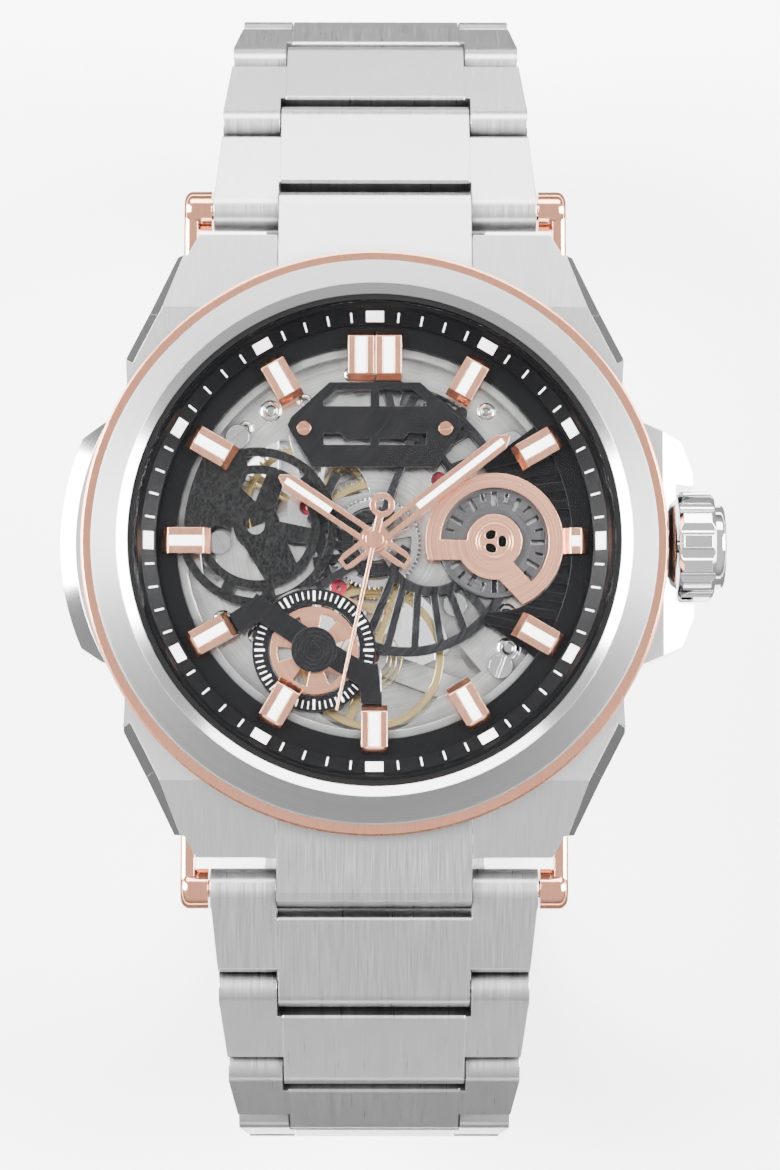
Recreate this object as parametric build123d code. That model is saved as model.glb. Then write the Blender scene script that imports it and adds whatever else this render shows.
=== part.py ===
from build123d import *
from math import asin, atan2, cos, degrees, hypot, radians, sin
import os

# Skeleton wristwatch on a steel bracelet that is closed by a folding clasp.
# Millimetres. +Z points out of the dial, +Y towards 12 o'clock, +X towards the crown.
# The origin is the centre of the case back's outer face, which lies on the wrist.

# ---------------------------------------------------------------- case sizes
RING_R = 20.0            # gold-coloured ring under the bezel, the widest round part
BEZEL_R = 19.25
BEZEL_FLAT_R = 17.4      # inner edge of the bezel's brushed cone
CRYSTAL_R = 16.3
SEAL_T = 0.35            # crystal gasket, between crystal and bezel
LEDGE = 0.3              # ledge of the bezel under the gasket
MOVEMENT_R = 13.45
CASE_BORE_R = 14.2
SEAT_FIT = 0.02          # clearance of pieces that drop into a seat
LUG_END_Y = 21.4
LUG_TIP_X = 12.1
LUG_STEP_X = 13.6
LUG_STEP_Y = 19.95
LUG_SLOT_X = 6.75        # half the slot between the lugs
SHOULDER_Y = 16.2        # line where the lugs begin to fall away
SHOULDER_X = 15.4
HIP_X = 17.1
HIP_Y = 12.9
WAIST_X = 17.0
SIDE_BEVEL = 0.75
BACK_R = 16.2
WINDOW_R = 11.6
GUARD_Y = 8.2            # half the length of a side guard
GUARD_X = 21.5
CROWN_GUARD_X = 21.9

# heights above the wrist
BACK_T = 1.4
WINDOW_T = 0.9
CASE_BOTTOM = 1.0
CASE_TOP = 7.6
RING_T = 0.7
BEZEL_EDGE_T = 0.65
BEZEL_TOP = 10.5
CRYSTAL_BOTTOM = 9.6
CRYSTAL_TOP = 10.6
LUG_TIP_Z = 6.5
BACK_SCREW_R = 15.1      # circle of the case back's screws
BACK_SCREW_HEAD_R = 0.75
BACK_SCREW_SHANK_R = 0.4
BACK_SCREW_LENGTH = 3.4

# ---------------------------------------------------------------- crown
CROWN_Z = 4.7
CROWN_R = 3.8
CROWN_X = RING_R + 0.75
CROWN_LENGTH = 2.5
CROWN_CAP_R = 2.95
CROWN_CAP_LENGTH = 0.75
CROWN_FLUTES = 14
FLUTE_R = 0.62
CROWN_ROOM = 0.25        # between the crown and its notch
STEM_R = 0.45
STEM_FIT = 0.05
PINION_X = 11.0          # winding pinion on the stem
PINION_LENGTH = 1.5

# ---------------------------------------------------------------- bracelet
BAR_Y = 23.5             # hinge of the first link
BAR_Z = 4.0
BAR_HEAD_R = 1.4
BAR_PIN_R = 0.6
BAR_HALF = 13.25
PIN_R = 0.45
PIN_FIT = 0.03
PITCH = 7.4
LINK_T = 2.8
KNUCKLE = 1.25           # reach of a centre block past its hinge
LINK_GAP = 0.3
SIDE_FIT = 0.1
WEB = 1.4                # crossbar of an outer link
LINK_HALF = 11.2
LINK_TAPER = 0.5
LINK_HALF_MIN = 8.8
CENTRE_HALF = 6.6
CENTRE_TAPER = 0.28
CENTRE_HALF_MIN = 5.2
END_BEVEL = 0.45
BENDS = [25, 17, 20, 20, 21, 21, 20, 19]    # degrees at each hinge, from the case outwards

# ---------------------------------------------------------------- folding clasp
COVER_TOP = 2.4
COVER_WALL_LOW = -0.8
COVER_T = 0.9
COVER_START = 3.0
INNER_LEAF_T = 0.8
MIDDLE_LEAF_T = 0.8
LEAF_HALF = 4.8
EAR_INNER = 2.2          # ears start here, barrels end just inside
BARREL_R = 0.85
FOLD_FAR = 4.4           # far fold pin, before the last hinge
FOLD_NEAR = 5.4          # near fold pin, after the first hinge
FOLD_PIN_R = 0.4
FORK_X = 5.5
BUTTON_R = 1.1
BUTTON_AT = 9.0
BUTTON_Z = 0.6

# ---------------------------------------------------------------- dial
DIAL_T = 0.4
TRACK_IN_R = 14.85
TRACK_LOW = 8.45
TRACK_HIGH = 9.3
MARKER_W = 1.75
MARKER_T = 0.8
MARKER_OUT_R = 14.45
MARKER_IN_R = 11.15
INLAY_W = 0.76
INLAY_DEPTH = 0.15

# hands, at eight and a half minutes past ten
HOUR_ANGLE = 304.2
MINUTE_ANGLE = 52.0
SECONDS_ANGLE = 192.4
HOUR_LENGTH = 7.85
MINUTE_LENGTH = 11.6
SECONDS_LENGTH = 11.85
HAND_TAIL = 2.8
HAND_W = 1.15
HAND_SLOT = 0.42
HAND_T = 0.16
HOUR_HAND_Z = 8.6
MINUTE_HAND_Z = 8.95
SECONDS_HAND_Z = 9.25

# ---------------------------------------------------------------- movement
PLATE_BOTTOM = 5.6
PLATE_TOP = 6.5
BRIDGE_BOTTOM = 2.8
BRIDGE_TOP = 3.35
FAN_LOW, FAN_T = 7.0, 0.45
FAN_RIB = 0.56           # width of the lattice bars
GRAINED_T = 0.38
COUNTER_LOW, COUNTER_T = 8.08, 0.3
NAME_LOW, NAME_T = 7.75, 0.45
NAME_FOOT_R = 0.6
DAY_COVER_LOW, DAY_COVER_T = 7.75, 0.4
DISC_LOW, DISC_T = 7.5, 0.15
JEWEL_R = 0.55
JEWEL_T = 0.35
PIVOT_R = 0.13
PIVOT_FIT = 0.03
STAFF_R = 0.18           # seconds staff
STAFF_FIT = 0.04
PIPE_R = 0.5             # minute pipe
PIPE_FIT = 0.05
HOUR_PIPE_R = 0.85
CENTRE_TEETH, CENTRE_LEAVES = 72, 10
THIRD_TEETH, THIRD_LEAVES = 75, 10
FOURTH_TEETH, FOURTH_LEAVES = 84, 9
BARREL_TEETH, ESCAPE_LEAVES = 80, 7
THIRD_AT = (-4.6, 2.5)
ESCAPE_AT = (-2.45, -3.0)
PALLET_AT = (-1.5, -4.98)
BARREL_AT = (4.4, 4.4)
BALANCE_AT = (-0.2, -7.7)
BALANCE_R = 4.95
DAY_AT = (8.15, 0.0)
DAY_R = 4.68
COUNTER_AT = (-4.1, -7.4)
COUNTER_R = 4.2
GRAINED_AT = (-8.0, 1.0)
NAME_SCREWS = [(-4.83, 7.7), (4.83, 7.7)]
PLATE_SCREWS = [(5.5, -4.2), (-9.4, 7.3), (9.4, 6.9), (-10.65, 0.05), (8.6, -8.4)]
PILLARS = [(9.9, -1.6), (-1.4, 11.0), (-10.9, -0.9)]
PILLAR_R = 0.9

# sizes worked out from the ones above
EYE_R = CRYSTAL_R + SEAL_T
LEDGE_R = EYE_R - LEDGE
RING_TOP = CASE_TOP + RING_T
DIAL_TOP = CASE_TOP + DIAL_T
MARKER_TOP = DIAL_TOP + MARKER_T
CROWN_NOTCH = CROWN_R + CROWN_ROOM
HALF_T = LINK_T / 2

os.makedirs("parts", exist_ok=True)


# ---------------------------------------------------------------- helpers
def save(name, *shapes):
    """Writes one node, which may hold several separate solids."""
    pieces = [piece for shape in shapes for piece in shape.solids()]
    export_step(pieces[0] if len(pieces) == 1 else Compound(pieces), f"parts/{name}.step")


def disc(radius, low, high, x=0.0, y=0.0):
    return Pos(x, y, low) * extrude(Circle(radius), amount=high - low)


def ring(outer, inner, low, high, x=0.0, y=0.0):
    return Pos(x, y, low) * extrude(Circle(outer) - Circle(inner), amount=high - low)


def slab(points, low, high):
    """A plan outline raised from low to high."""
    return Pos(0, 0, low) * extrude(make_face(Polyline(*points, close=True)), amount=high - low)


def turned(profile):
    """A round part from its (radius, height) corners."""
    return revolve(make_face(Polyline(*[(r, 0, z) for r, z in profile], close=True)), Axis.Z)


def side_slab(points, x0, x1):
    """An outline of (y, z) corners, carried along X."""
    face = make_face(Polyline(*[(x0, y, z) for y, z in points], close=True))
    return extrude(face, amount=x1 - x0, dir=(1, 0, 0))


def rod_x(radius, x0, x1, y, z):
    return Pos(x0, y, z) * Rot(0, 90, 0) * extrude(Circle(radius), amount=x1 - x0)


def box(x0, x1, y0, y1, z0, z1):
    return Pos((x0 + x1) / 2, (y0 + y1) / 2, (z0 + z1) / 2) * Box(x1 - x0, y1 - y0, z1 - z0)


def polar(radius, clock):
    """The point at a clock angle, in degrees clockwise from 12."""
    return radius * sin(radians(clock)), radius * cos(radians(clock))


def arc_points(radius, start, end, count):
    return [polar(radius, start + (end - start) * i / (count - 1)) for i in range(count)]


def sector(outer, inner, start, end, low, high, x=0.0, y=0.0):
    """A curved bar between two radii and two clock angles, with true arcs for its long sides."""
    middle = (start + end) / 2
    edge = [
        ThreePointArc(polar(outer, start), polar(outer, middle), polar(outer, end)),
        Line(polar(outer, end), polar(inner, end)),
        ThreePointArc(polar(inner, end), polar(inner, middle), polar(inner, start)),
        Line(polar(inner, start), polar(outer, start)),
    ]
    return Pos(x, y, low) * extrude(make_face(edge), amount=high - low)


def rib(x0, y0, x1, y1, width, low, high):
    """A straight bar between two points, carried on by half its width at each end."""
    bar = Box(hypot(x1 - x0, y1 - y0) + width, width, high - low)
    turn = degrees(atan2(y1 - y0, x1 - x0))
    return Pos((x0 + x1) / 2, (y0 + y1) / 2, (low + high) / 2) * Rot(0, 0, turn) * bar


def joined(pieces):
    whole = pieces[0]
    for piece in pieces[1:]:
        whole += piece
    return whole


def both_ways(shape):
    """The shape and its copy mirrored to the other side of the XZ plane."""
    return [shape, mirror(shape, about=Plane.XZ)]


def screw(x, y, low, high, head_r, head_t, shank_r, clock, head_up=True):
    """A cheese-head screw with a slot across its head."""
    if head_up:
        body = disc(head_r, high - head_t, high, x, y) + disc(shank_r, low, high - head_t, x, y)
        face = high
    else:
        body = disc(head_r, low, low + head_t, x, y) + disc(shank_r, low + head_t, high, x, y)
        face = low
    slot = Pos(x, y, face) * Rot(0, 0, -clock) * Box(0.25 * head_r, 3 * head_r, head_t)
    return body - slot


# ---------------------------------------------------------------- case
def side_bevel(start, end, sx, sy):
    """A wedge that bevels the top edge between two plan corners; sx and sy mirror it."""
    (x0, y0), (x1, y1) = start, end
    length = hypot(x1 - x0, y1 - y0)
    ux, uy = (x1 - x0) / length, (y1 - y0) / length
    nx, ny = (-uy, ux) if -uy > 0 else (uy, -ux)
    over, drop, rise = 0.3, 1.6, 2.0
    inward = SIDE_BEVEL * (1 + rise / drop)
    faces = []
    for x, y, along in ((x0, y0, -over), (x1, y1, over)):
        px, py = x + ux * along, y + uy * along
        corners = [
            (px, py, CASE_TOP - drop),
            (px - nx * inward, py - ny * inward, CASE_TOP + rise),
            (px + nx * rise, py + ny * rise, CASE_TOP + rise),
            (px + nx * rise, py + ny * rise, CASE_TOP - drop),
        ]
        faces.append(make_face(Polyline(*[(sx * a, sy * b, c) for a, b, c in corners], close=True)))
    return loft(faces)


def left_guard():
    """Side guard at 9 o'clock, with a bowed outer face."""
    low, high = CASE_BOTTOM + 1.4, CASE_TOP - 0.2
    end_x, root_x = GUARD_X - 1.5, WAIST_X - 1
    outer = ThreePointArc((-end_x, GUARD_Y - 1.0), (-GUARD_X, 0), (-end_x, 1.0 - GUARD_Y))
    rest = Polyline(
        (-end_x, 1.0 - GUARD_Y), (1.5 - end_x, -GUARD_Y), (-root_x, -GUARD_Y - 0.6),
        (-root_x, GUARD_Y + 0.6), (1.5 - end_x, GUARD_Y), (-end_x, GUARD_Y - 1.0),
    )
    block = Pos(0, 0, low) * extrude(make_face([outer, rest]), amount=high - low)
    top = block.faces().sort_by(Axis.Z)[-1]
    edges = [edge for edge in top.edges() if edge.center().X < -end_x + 0.5]
    return chamfer(edges, length=1.1, length2=0.75, reference=top)


def crown_guard():
    """Side guard at 3 o'clock, notched for the crown."""
    low, high = CASE_BOTTOM + 1.0, CASE_TOP - 0.2
    half = [
        (WAIST_X - 1, GUARD_Y + 0.6), (18.5, GUARD_Y), (CROWN_GUARD_X - 0.9, GUARD_Y - 1.1),
        (CROWN_GUARD_X, CROWN_NOTCH + 0.9), (CROWN_GUARD_X, CROWN_NOTCH), (CROWN_X - 0.15, CROWN_NOTCH),
    ]
    block = slab(half + [(x, -y) for x, y in reversed(half)], low, high)
    slope = [(RING_R - 0.3, high), (CROWN_GUARD_X + 2, high - 3), (CROWN_GUARD_X + 2, high + 1),
             (RING_R - 0.3, high + 1)]
    wedge = make_face(Polyline(*[(x, -2 * GUARD_Y, z) for x, z in slope], close=True))
    return block - extrude(wedge, amount=4 * GUARD_Y, dir=(0, 1, 0))


def case_outline():
    corner = [
        (LUG_TIP_X, LUG_END_Y), (LUG_TIP_X + 0.8, LUG_STEP_Y), (LUG_STEP_X, LUG_STEP_Y - 0.05),
        (SHOULDER_X, SHOULDER_Y), (HIP_X, HIP_Y), (WAIST_X, HIP_Y - 1.8),
    ]
    right = corner + [(x, -y) for x, y in reversed(corner)]
    return right + [(-x, -y) for x, y in right]


def case_middle():
    body = slab(case_outline(), CASE_BOTTOM, CASE_TOP)
    span = 2 * RING_R
    fall = (CASE_TOP - LUG_TIP_Z) / (LUG_END_Y - SHOULDER_Y)
    far = LUG_END_Y + 5
    for way in (1, -1):
        # the lugs slope down from the shoulders
        wedge = [(way * SHOULDER_Y, CASE_TOP), (way * far, CASE_TOP - fall * (far - SHOULDER_Y)),
                 (way * far, CASE_TOP + 5), (way * SHOULDER_Y, CASE_TOP + 5)]
        body -= side_slab(wedge, -span, span)
        # and up from the case back
        under = [(way * (SHOULDER_Y - 1), CASE_BOTTOM), (way * far, CASE_BOTTOM + 2.2),
                 (way * far, CASE_BOTTOM - 5), (way * (SHOULDER_Y - 1), CASE_BOTTOM - 5)]
        body -= side_slab(under, -span, span)
        # slot for the end block, room for the first link, pockets for the stirrups
        slot_y = sorted((way * (SHOULDER_Y + 1.2), way * far))
        body -= box(-LUG_SLOT_X, LUG_SLOT_X, *slot_y, -1, 20)
        body -= rod_x(HALF_T + 0.85, -span, span, way * BAR_Y, BAR_Z)
        pocket_y = sorted((way * (LUG_STEP_Y - 0.1), way * far))
        for side in (1, -1):
            pocket_x = sorted((side * (LUG_TIP_X + 0.1), side * span))
            body -= box(*pocket_x, *pocket_y, -1, BAR_Z + BAR_HEAD_R + 0.1)
    corners = [(LUG_STEP_X, LUG_STEP_Y - 0.05), (SHOULDER_X, SHOULDER_Y), (HIP_X, HIP_Y)]
    for start, end in zip(corners, corners[1:]):
        for sx, sy in ((1, 1), (1, -1), (-1, 1), (-1, -1)):
            body -= side_bevel(start, end, sx, sy)
    body += left_guard() + crown_guard()
    body -= disc(CASE_BORE_R, -1, CASE_TOP + 1)
    body -= disc(BACK_R + SEAT_FIT, -1, BACK_T)
    body -= rod_x(STEM_R + STEM_FIT, CASE_BORE_R - 2, CROWN_GUARD_X + 1, 0, CROWN_Z)
    for x, y in back_screw_points():
        body -= disc(BACK_SCREW_SHANK_R, -1, BACK_SCREW_LENGTH + 0.2, x, y)
    return body


def back_screw_points():
    return [polar(BACK_SCREW_R, 60 * i + 30) for i in range(6)]


def bezel():
    return turned([
        (LEDGE_R, RING_TOP), (BEZEL_R, RING_TOP), (BEZEL_R, RING_TOP + BEZEL_EDGE_T - 0.12),
        (BEZEL_R - 0.12, RING_TOP + BEZEL_EDGE_T), (BEZEL_FLAT_R, BEZEL_TOP),
        (EYE_R + 0.06, BEZEL_TOP - 0.32), (EYE_R, BEZEL_TOP - 0.38), (EYE_R, CRYSTAL_BOTTOM - 0.1),
        (LEDGE_R, CRYSTAL_BOTTOM - 0.1),
    ])


def bezel_ring():
    return turned([
        (LEDGE_R, CASE_TOP), (RING_R - 0.1, CASE_TOP), (RING_R, CASE_TOP + 0.1),
        (RING_R, RING_TOP - 0.15), (RING_R - 0.15, RING_TOP), (LEDGE_R, RING_TOP),
    ])


def crystal():
    return turned([
        (0, CRYSTAL_BOTTOM), (CRYSTAL_R, CRYSTAL_BOTTOM), (CRYSTAL_R, CRYSTAL_TOP - 0.2),
        (CRYSTAL_R - 0.2, CRYSTAL_TOP), (0, CRYSTAL_TOP),
    ])


def gaskets():
    """Seal round the crystal, and the flat seal under the case back's flange."""
    crystal_seal = turned([
        (LEDGE_R, CRYSTAL_BOTTOM - 0.1), (EYE_R, CRYSTAL_BOTTOM - 0.1), (EYE_R, BEZEL_TOP - 0.42),
        (CRYSTAL_R, BEZEL_TOP - 0.42), (CRYSTAL_R, CRYSTAL_BOTTOM), (LEDGE_R, CRYSTAL_BOTTOM),
    ])
    o_ring = Pos(0, 0, BACK_T - 0.15) * Torus(CASE_BORE_R + 0.35, 0.15)
    return crystal_seal, o_ring


def case_back():
    """Screwed ring that carries the rear glass."""
    body = turned([
        (WINDOW_R, 0), (BACK_R - 0.5, 0), (BACK_R, 0.5), (BACK_R, BACK_T),
        (WINDOW_R - 0.4, BACK_T), (WINDOW_R - 0.4, WINDOW_T), (WINDOW_R, WINDOW_T),
    ])
    body -= ring(CASE_BORE_R + 0.55, CASE_BORE_R + 0.15, BACK_T - 0.32, BACK_T + 1)
    for x, y in back_screw_points():
        body -= disc(BACK_SCREW_HEAD_R + SEAT_FIT, -1, 0.5, x, y)
        body -= disc(BACK_SCREW_SHANK_R + SEAT_FIT, -1, BACK_T + 1, x, y)
    return body


def back_screws():
    return [
        screw(x, y, 0.05, BACK_SCREW_LENGTH, BACK_SCREW_HEAD_R, 0.45, BACK_SCREW_SHANK_R, 35 * i, False)
        for i, (x, y) in enumerate(back_screw_points())
    ]


def movement_holder():
    body = ring(CASE_BORE_R - SEAT_FIT, MOVEMENT_R + SEAT_FIT, BACK_T, CASE_TOP)
    return body - rod_x(STEM_R + STEM_FIT, 0, 2 * RING_R, 0, CROWN_Z)


# ---------------------------------------------------------------- crown
def crown():
    """Fluted crown with a domed cap, and its stem."""
    end_x = CROWN_X + CROWN_LENGTH
    knob = rod_x(CROWN_R, CROWN_X, end_x, 0, CROWN_Z)
    knob = chamfer(knob.edges().filter_by(GeomType.CIRCLE), 0.3)
    for i in range(CROWN_FLUTES):
        turn = radians(360 / CROWN_FLUTES * i)
        reach = CROWN_R + 0.65 * FLUTE_R
        knob -= rod_x(FLUTE_R, CROWN_X - 1, end_x + 1, reach * cos(turn), CROWN_Z + reach * sin(turn))
    cap = rod_x(CROWN_CAP_R, end_x, end_x + CROWN_CAP_LENGTH, 0, CROWN_Z)
    cap = fillet(cap.edges().filter_by(GeomType.CIRCLE).sort_by(Axis.X)[-1], 0.35)
    hollow = rod_x(1.6, CROWN_X - 1, CROWN_X + 1, 0, CROWN_Z)
    stem = rod_x(STEM_R, PINION_X - 0.6, CROWN_X + 1, 0, CROWN_Z)
    return knob + cap - hollow, stem


def winding_pinion():
    wheel = gear(12, 0.68, 0, PINION_LENGTH, STEM_R + PIPE_FIT)
    return Pos(PINION_X, 0, CROWN_Z) * Rot(0, 90, 0) * wheel


# ---------------------------------------------------------------- dial
def dial_ring():
    """Flat black ring, with a ribbed field between 2 and 4 o'clock."""
    low, high = CASE_TOP, CASE_TOP + GRAINED_T
    start, end = 54, 126
    flat = ring(LEDGE_R - SEAT_FIT, MOVEMENT_R, CASE_TOP, DIAL_TOP)
    field = sector(MOVEMENT_R + 0.2, 9.0, start, end, low, low + 0.15)
    mask = sector(MOVEMENT_R, 9.0, start, end, low, high)
    for i in range(11):
        bar = Box(9.5, 0.6, high - low)
        bar = Pos(9.8, 1.15 * (i - 5), (low + high) / 2) * Rot(0, 0, 2.4 * (i - 5)) * bar
        field += bar & mask
    return flat + (field - disc(DAY_R + 0.1, 0, 20, *DAY_AT))


def minute_ring():
    outer = LEDGE_R - SEAT_FIT
    return turned([
        (TRACK_IN_R, DIAL_TOP), (outer, DIAL_TOP), (outer, TRACK_HIGH + 0.15),
        (outer - 0.3, TRACK_HIGH + 0.15), (outer - 0.5, TRACK_HIGH - 0.2), (TRACK_IN_R, TRACK_LOW),
    ])


def marker(clock, in_r, shift=0.0):
    """One applied block with bevelled ends and a groove for its inlay."""
    low, high, bevel, foot = DIAL_TOP, MARKER_TOP, 0.45, 0.25
    profile = [
        (in_r, low), (MARKER_OUT_R, low), (MARKER_OUT_R, low + foot), (MARKER_OUT_R - bevel, high),
        (in_r + bevel, high), (in_r, low + foot),
    ]
    block = side_slab(profile, -MARKER_W / 2, MARKER_W / 2)
    block -= box(-INLAY_W / 2, INLAY_W / 2, in_r + bevel, MARKER_OUT_R - bevel, high - INLAY_DEPTH, high + 1)
    return Rot(0, 0, -clock) * Pos(shift, 0, 0) * block


def hour_markers():
    pieces = [marker(30 * hour, DAY_AT[0] + DAY_R if hour == 3 else MARKER_IN_R) for hour in range(1, 12)]
    return pieces + [marker(0, MARKER_IN_R - 0.15, way * (MARKER_W / 2 + 0.06)) for way in (-1, 1)]


def name_plate():
    """Six-sided black plate under 12 o'clock, with four windows and a blank band."""
    low, high = NAME_LOW, NAME_LOW + NAME_T
    half = [(3.1, 10.9), (5.7, 8.5), (5.95, 7.95), (5.7, 7.4), (4.25, 5.1)]
    plate = slab(half + [(-x, y) for x, y in reversed(half)], low, high)
    for side in (1, -1):
        upper = [(0.3, 10.4), (2.6, 10.4), (3.5, 9.6), (3.5, 9.25), (0.3, 9.25)]
        lower = [(0.3, 6.6), (3.5, 6.6), (3.5, 7.4), (2.3, 7.4), (2.0, 7.05), (0.3, 7.05)]
        for window in (upper, lower):
            plate -= slab([(side * x, y) for x, y in window], low - 1, high + 1)
    for x, y in NAME_SCREWS:
        plate += disc(NAME_FOOT_R, PLATE_TOP, low, x, y)
        plate -= disc(0.25 + SEAT_FIT, low - 3, high + 1, x, y)
    return plate


def grained_bridge():
    """Black grained bridge at 9 o'clock: two rims round a spoked boss."""
    low, high = CASE_TOP, CASE_TOP + GRAINED_T
    x, y = GRAINED_AT
    parts = [ring(5.45, 4.85, low, high, x, y), ring(4.25, 3.65, low, high, x, y), disc(1.6, low, high, x, y)]
    for clock, half in ((20, 0.75), (100, 0.65), (152, 1.4), (318, 1.1)):
        arm = slab([(-half, 0.8), (half, 0.8), (half * 0.85, 4.0), (-half * 0.85, 4.0)], low, high)
        parts.append(Pos(x, y, 0) * Rot(0, 0, -clock) * arm)
    for clock in (60, 170, 205, 300, 345):
        arm = slab([(-0.45, 4.0), (0.45, 4.0), (0.45, 5.1), (-0.45, 5.1)], low, high)
        parts.append(Pos(x, y, 0) * Rot(0, 0, -clock) * arm)
    parts.append(sector(MOVEMENT_R - 0.4, 9.8, 274, 300, low, high))
    plate = joined(parts) & disc(MOVEMENT_R - 0.4, low, high)
    plate -= disc(0.62, low - 1, high + 1, x - 0.1, y + 0.1)
    plate -= disc(1.05, low - 1, high + 1, *PLATE_SCREWS[3])
    return plate - disc(COUNTER_R + 0.15, low - 1, high + 1, *COUNTER_AT)


def fan_bridge():
    """Brushed lattice: a lower fan, a left-hand fan and an upper arc, in one plate."""
    low, high = FAN_LOW, FAN_LOW + FAN_T
    lower_x, lower_y, inner_x = 2.2, -0.3, 3.9
    upper_x, upper_y = -1.6, 0.2
    parts = [
        sector(7.5, 6.85, 96, 205, low, high, lower_x, lower_y),
        sector(3.65, 3.0, 70, 232, low, high, inner_x, 0),
        sector(8.6, 7.95, 250, 300, low, high, 4.6, 0.6),
        sector(2.3, 1.45, 150, 400, low, high),
        sector(11.4, 10.8, 8, 62, low, high, upper_x, upper_y),
        sector(8.6, 8.1, 20, 62, low, high, upper_x, upper_y),
        rib(0.6, 2.0, 2.6, 7.4, 0.6, low, high),
        rib(2.0, -0.6, 1.2, -2.0, 0.7, low, high),
    ]
    for far, near in ((203, 230), (191, 214), (176, 196), (161, 178), (146, 160), (131, 142), (116, 124)):
        x0, y0 = polar(3.4, near)
        x1, y1 = polar(7.2, far)
        parts.append(rib(x0 + inner_x, y0, x1 + lower_x, y1 + lower_y, FAN_RIB, low, high))
    for clock, reach in ((312, 6.4), (292, 4.6), (272, 3.9), (252, 4.1), (232, 4.8)):
        x0, y0 = polar(1.9, clock - 12)
        x1, y1 = polar(reach, clock)
        parts.append(rib(x0, y0, x1, y1, FAN_RIB, low, high))
    for clock in (12, 24, 36, 47, 58):
        x0, y0 = polar(8.3, max(clock - 4, 22))
        x1, y1 = polar(11.1, clock)
        parts.append(rib(x0 + upper_x, y0 + upper_y, x1 + upper_x, y1 + upper_y, FAN_RIB, low, high))
    for x, y in FAN_FEET:
        parts.append(disc(0.45, PLATE_TOP, low + 0.1, x, y))
    plate = joined(parts) - disc(1.2, low - 1, high + 1)
    return plate - disc(NAME_FOOT_R + 0.1, low - 1, high + 1, *NAME_SCREWS[1])


FAN_FEET = [(5.9, 8.9), (9.0, -2.8), (8.2, -4.8), (-3.9, 1.6)]


def day_cover():
    """Gold-coloured cover of the 24-hour disc, with a window three quarters of the way round."""
    low, high = DAY_COVER_LOW, DAY_COVER_LOW + DAY_COVER_T
    plate = disc(DAY_R, low, high)
    bite = [
        (0.6, -1.25), (-DAY_R - 1, -1.25), (-DAY_R - 1, -DAY_R - 1), (2.0, -DAY_R - 1),
        (2.4, -DAY_R - 0.2), (1.95, -4.3), (0.2, -2.5),
    ]
    plate = (plate - slab(bite, low - 1, high + 1)) + disc(2.6, low, high)
    plate -= sector(3.7, 1.87, -88, 138, low - 1, high + 1)
    plate += ring(1.25, 1.05, high, high + 0.06)
    for clock in (90, 210, 330):
        x, y = polar(0.52, clock)
        plate -= Pos(x, y, low + 0.2) * Rot(0, 0, -clock) * extrude(Ellipse(0.4, 0.3), amount=2)
    for x, y in ((-4.3, -0.9), (2.6, -3.4), (0.4, 4.2)):
        plate += disc(0.3, PLATE_TOP, low, x, y)
    return Pos(*DAY_AT, 0) * plate


def day_disc():
    low, high = DISC_LOW, DISC_LOW + DISC_T
    plate = disc(3.8, low, high)
    for i in range(24):
        width, length = (0.34, 0.95) if i % 2 == 0 else (0.2, 0.6)
        plate -= Rot(0, 0, -15 * i) * box(-width / 2, width / 2, 3.45 - length, 3.45, low - 1, high + 1)
    return Pos(*DAY_AT, 0) * (plate + disc(0.3, PLATE_TOP - 0.4, low))


def running_wheel():
    """Spoked wheel inside the track at 7 o'clock."""
    low, high = 7.5, 7.7
    wheel = disc(COUNTER_R - 1.2, low, high)
    for i in range(6):
        wheel -= sector(2.5, 1.2, 60 * i + 12, 60 * i + 36, low - 1, high + 1)
    return Pos(*COUNTER_AT, 0) * (wheel + disc(0.3, high, COUNTER_LOW + 0.15))


def counter_bridge():
    """Black track of the running wheel, and the cranked bridge over it from 8 to 6 o'clock."""
    low, high = COUNTER_LOW, COUNTER_LOW + COUNTER_T
    x, y = COUNTER_AT
    inside = MARKER_IN_R - 0.1
    top = joined([
        rib(-10.2, -6.1, -7.8, -4.6, 1.5, low, high),
        rib(-7.8, -4.6, x, y + 0.35, 1.5, low, high),
        rib(x, y + 0.35, -0.75, -9.1, 1.5, low, high),
        rib(-0.4, -9.1, -0.1, -12.0, 1.4, low, high),
    ]) & disc(inside, low, high)
    top += disc(1.55, low, high + 0.06, x, y)
    for radius in (0.35, 0.65, 0.95, 1.25):
        top -= ring(radius + 0.07, radius, high - 0.03, high + 1, x, y)
    # feet under the markers, down to the rim of the main plate
    for clock in (180.5, 239.5):
        foot = box(-0.6, 0.6, 10.2, MOVEMENT_R - 0.1, CASE_TOP, DIAL_TOP - 0.05)
        step = box(-0.6, 0.6, 10.2, inside - 0.1, CASE_TOP, low + 0.05)
        top += Rot(0, 0, -clock) * (foot + step)
    track = ring(COUNTER_R, COUNTER_R - 1.1, 7.5, 7.9, x, y)
    posts = joined([disc(0.4, 7.8, low + 0.05, px, py) for px, py in ((-7.5, -5.35), (-0.75, -8.9))])
    return top + track + posts - disc(0.3 + PIVOT_FIT, 7, low + 0.2, x, y)


# ---------------------------------------------------------------- hands
def baton_hand(length, low, clock, bore):
    """Two rails round an open slot, with a pointed tip and a forked tail."""
    half, slot, hub = HAND_W / 2, HAND_SLOT / 2, 0.85
    high = low + HAND_T
    side = [(0.1, length), (half, length - 0.75), (half, 0.5 - HAND_TAIL), (0.72 * half, -HAND_TAIL)]
    hand = slab(side + [(-x, y) for x, y in reversed(side)], low, high)
    for y0, y1 in ((hub + 0.2, length - 0.5), (0.25 - HAND_TAIL, -hub - 0.1)):
        hand -= box(-slot, slot, y0, y1, low - 1, high + 1)
    hand = hand + disc(hub, low, high) - disc(bore, low - 1, high + 1)
    return Rot(0, 0, -clock) * hand


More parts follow.
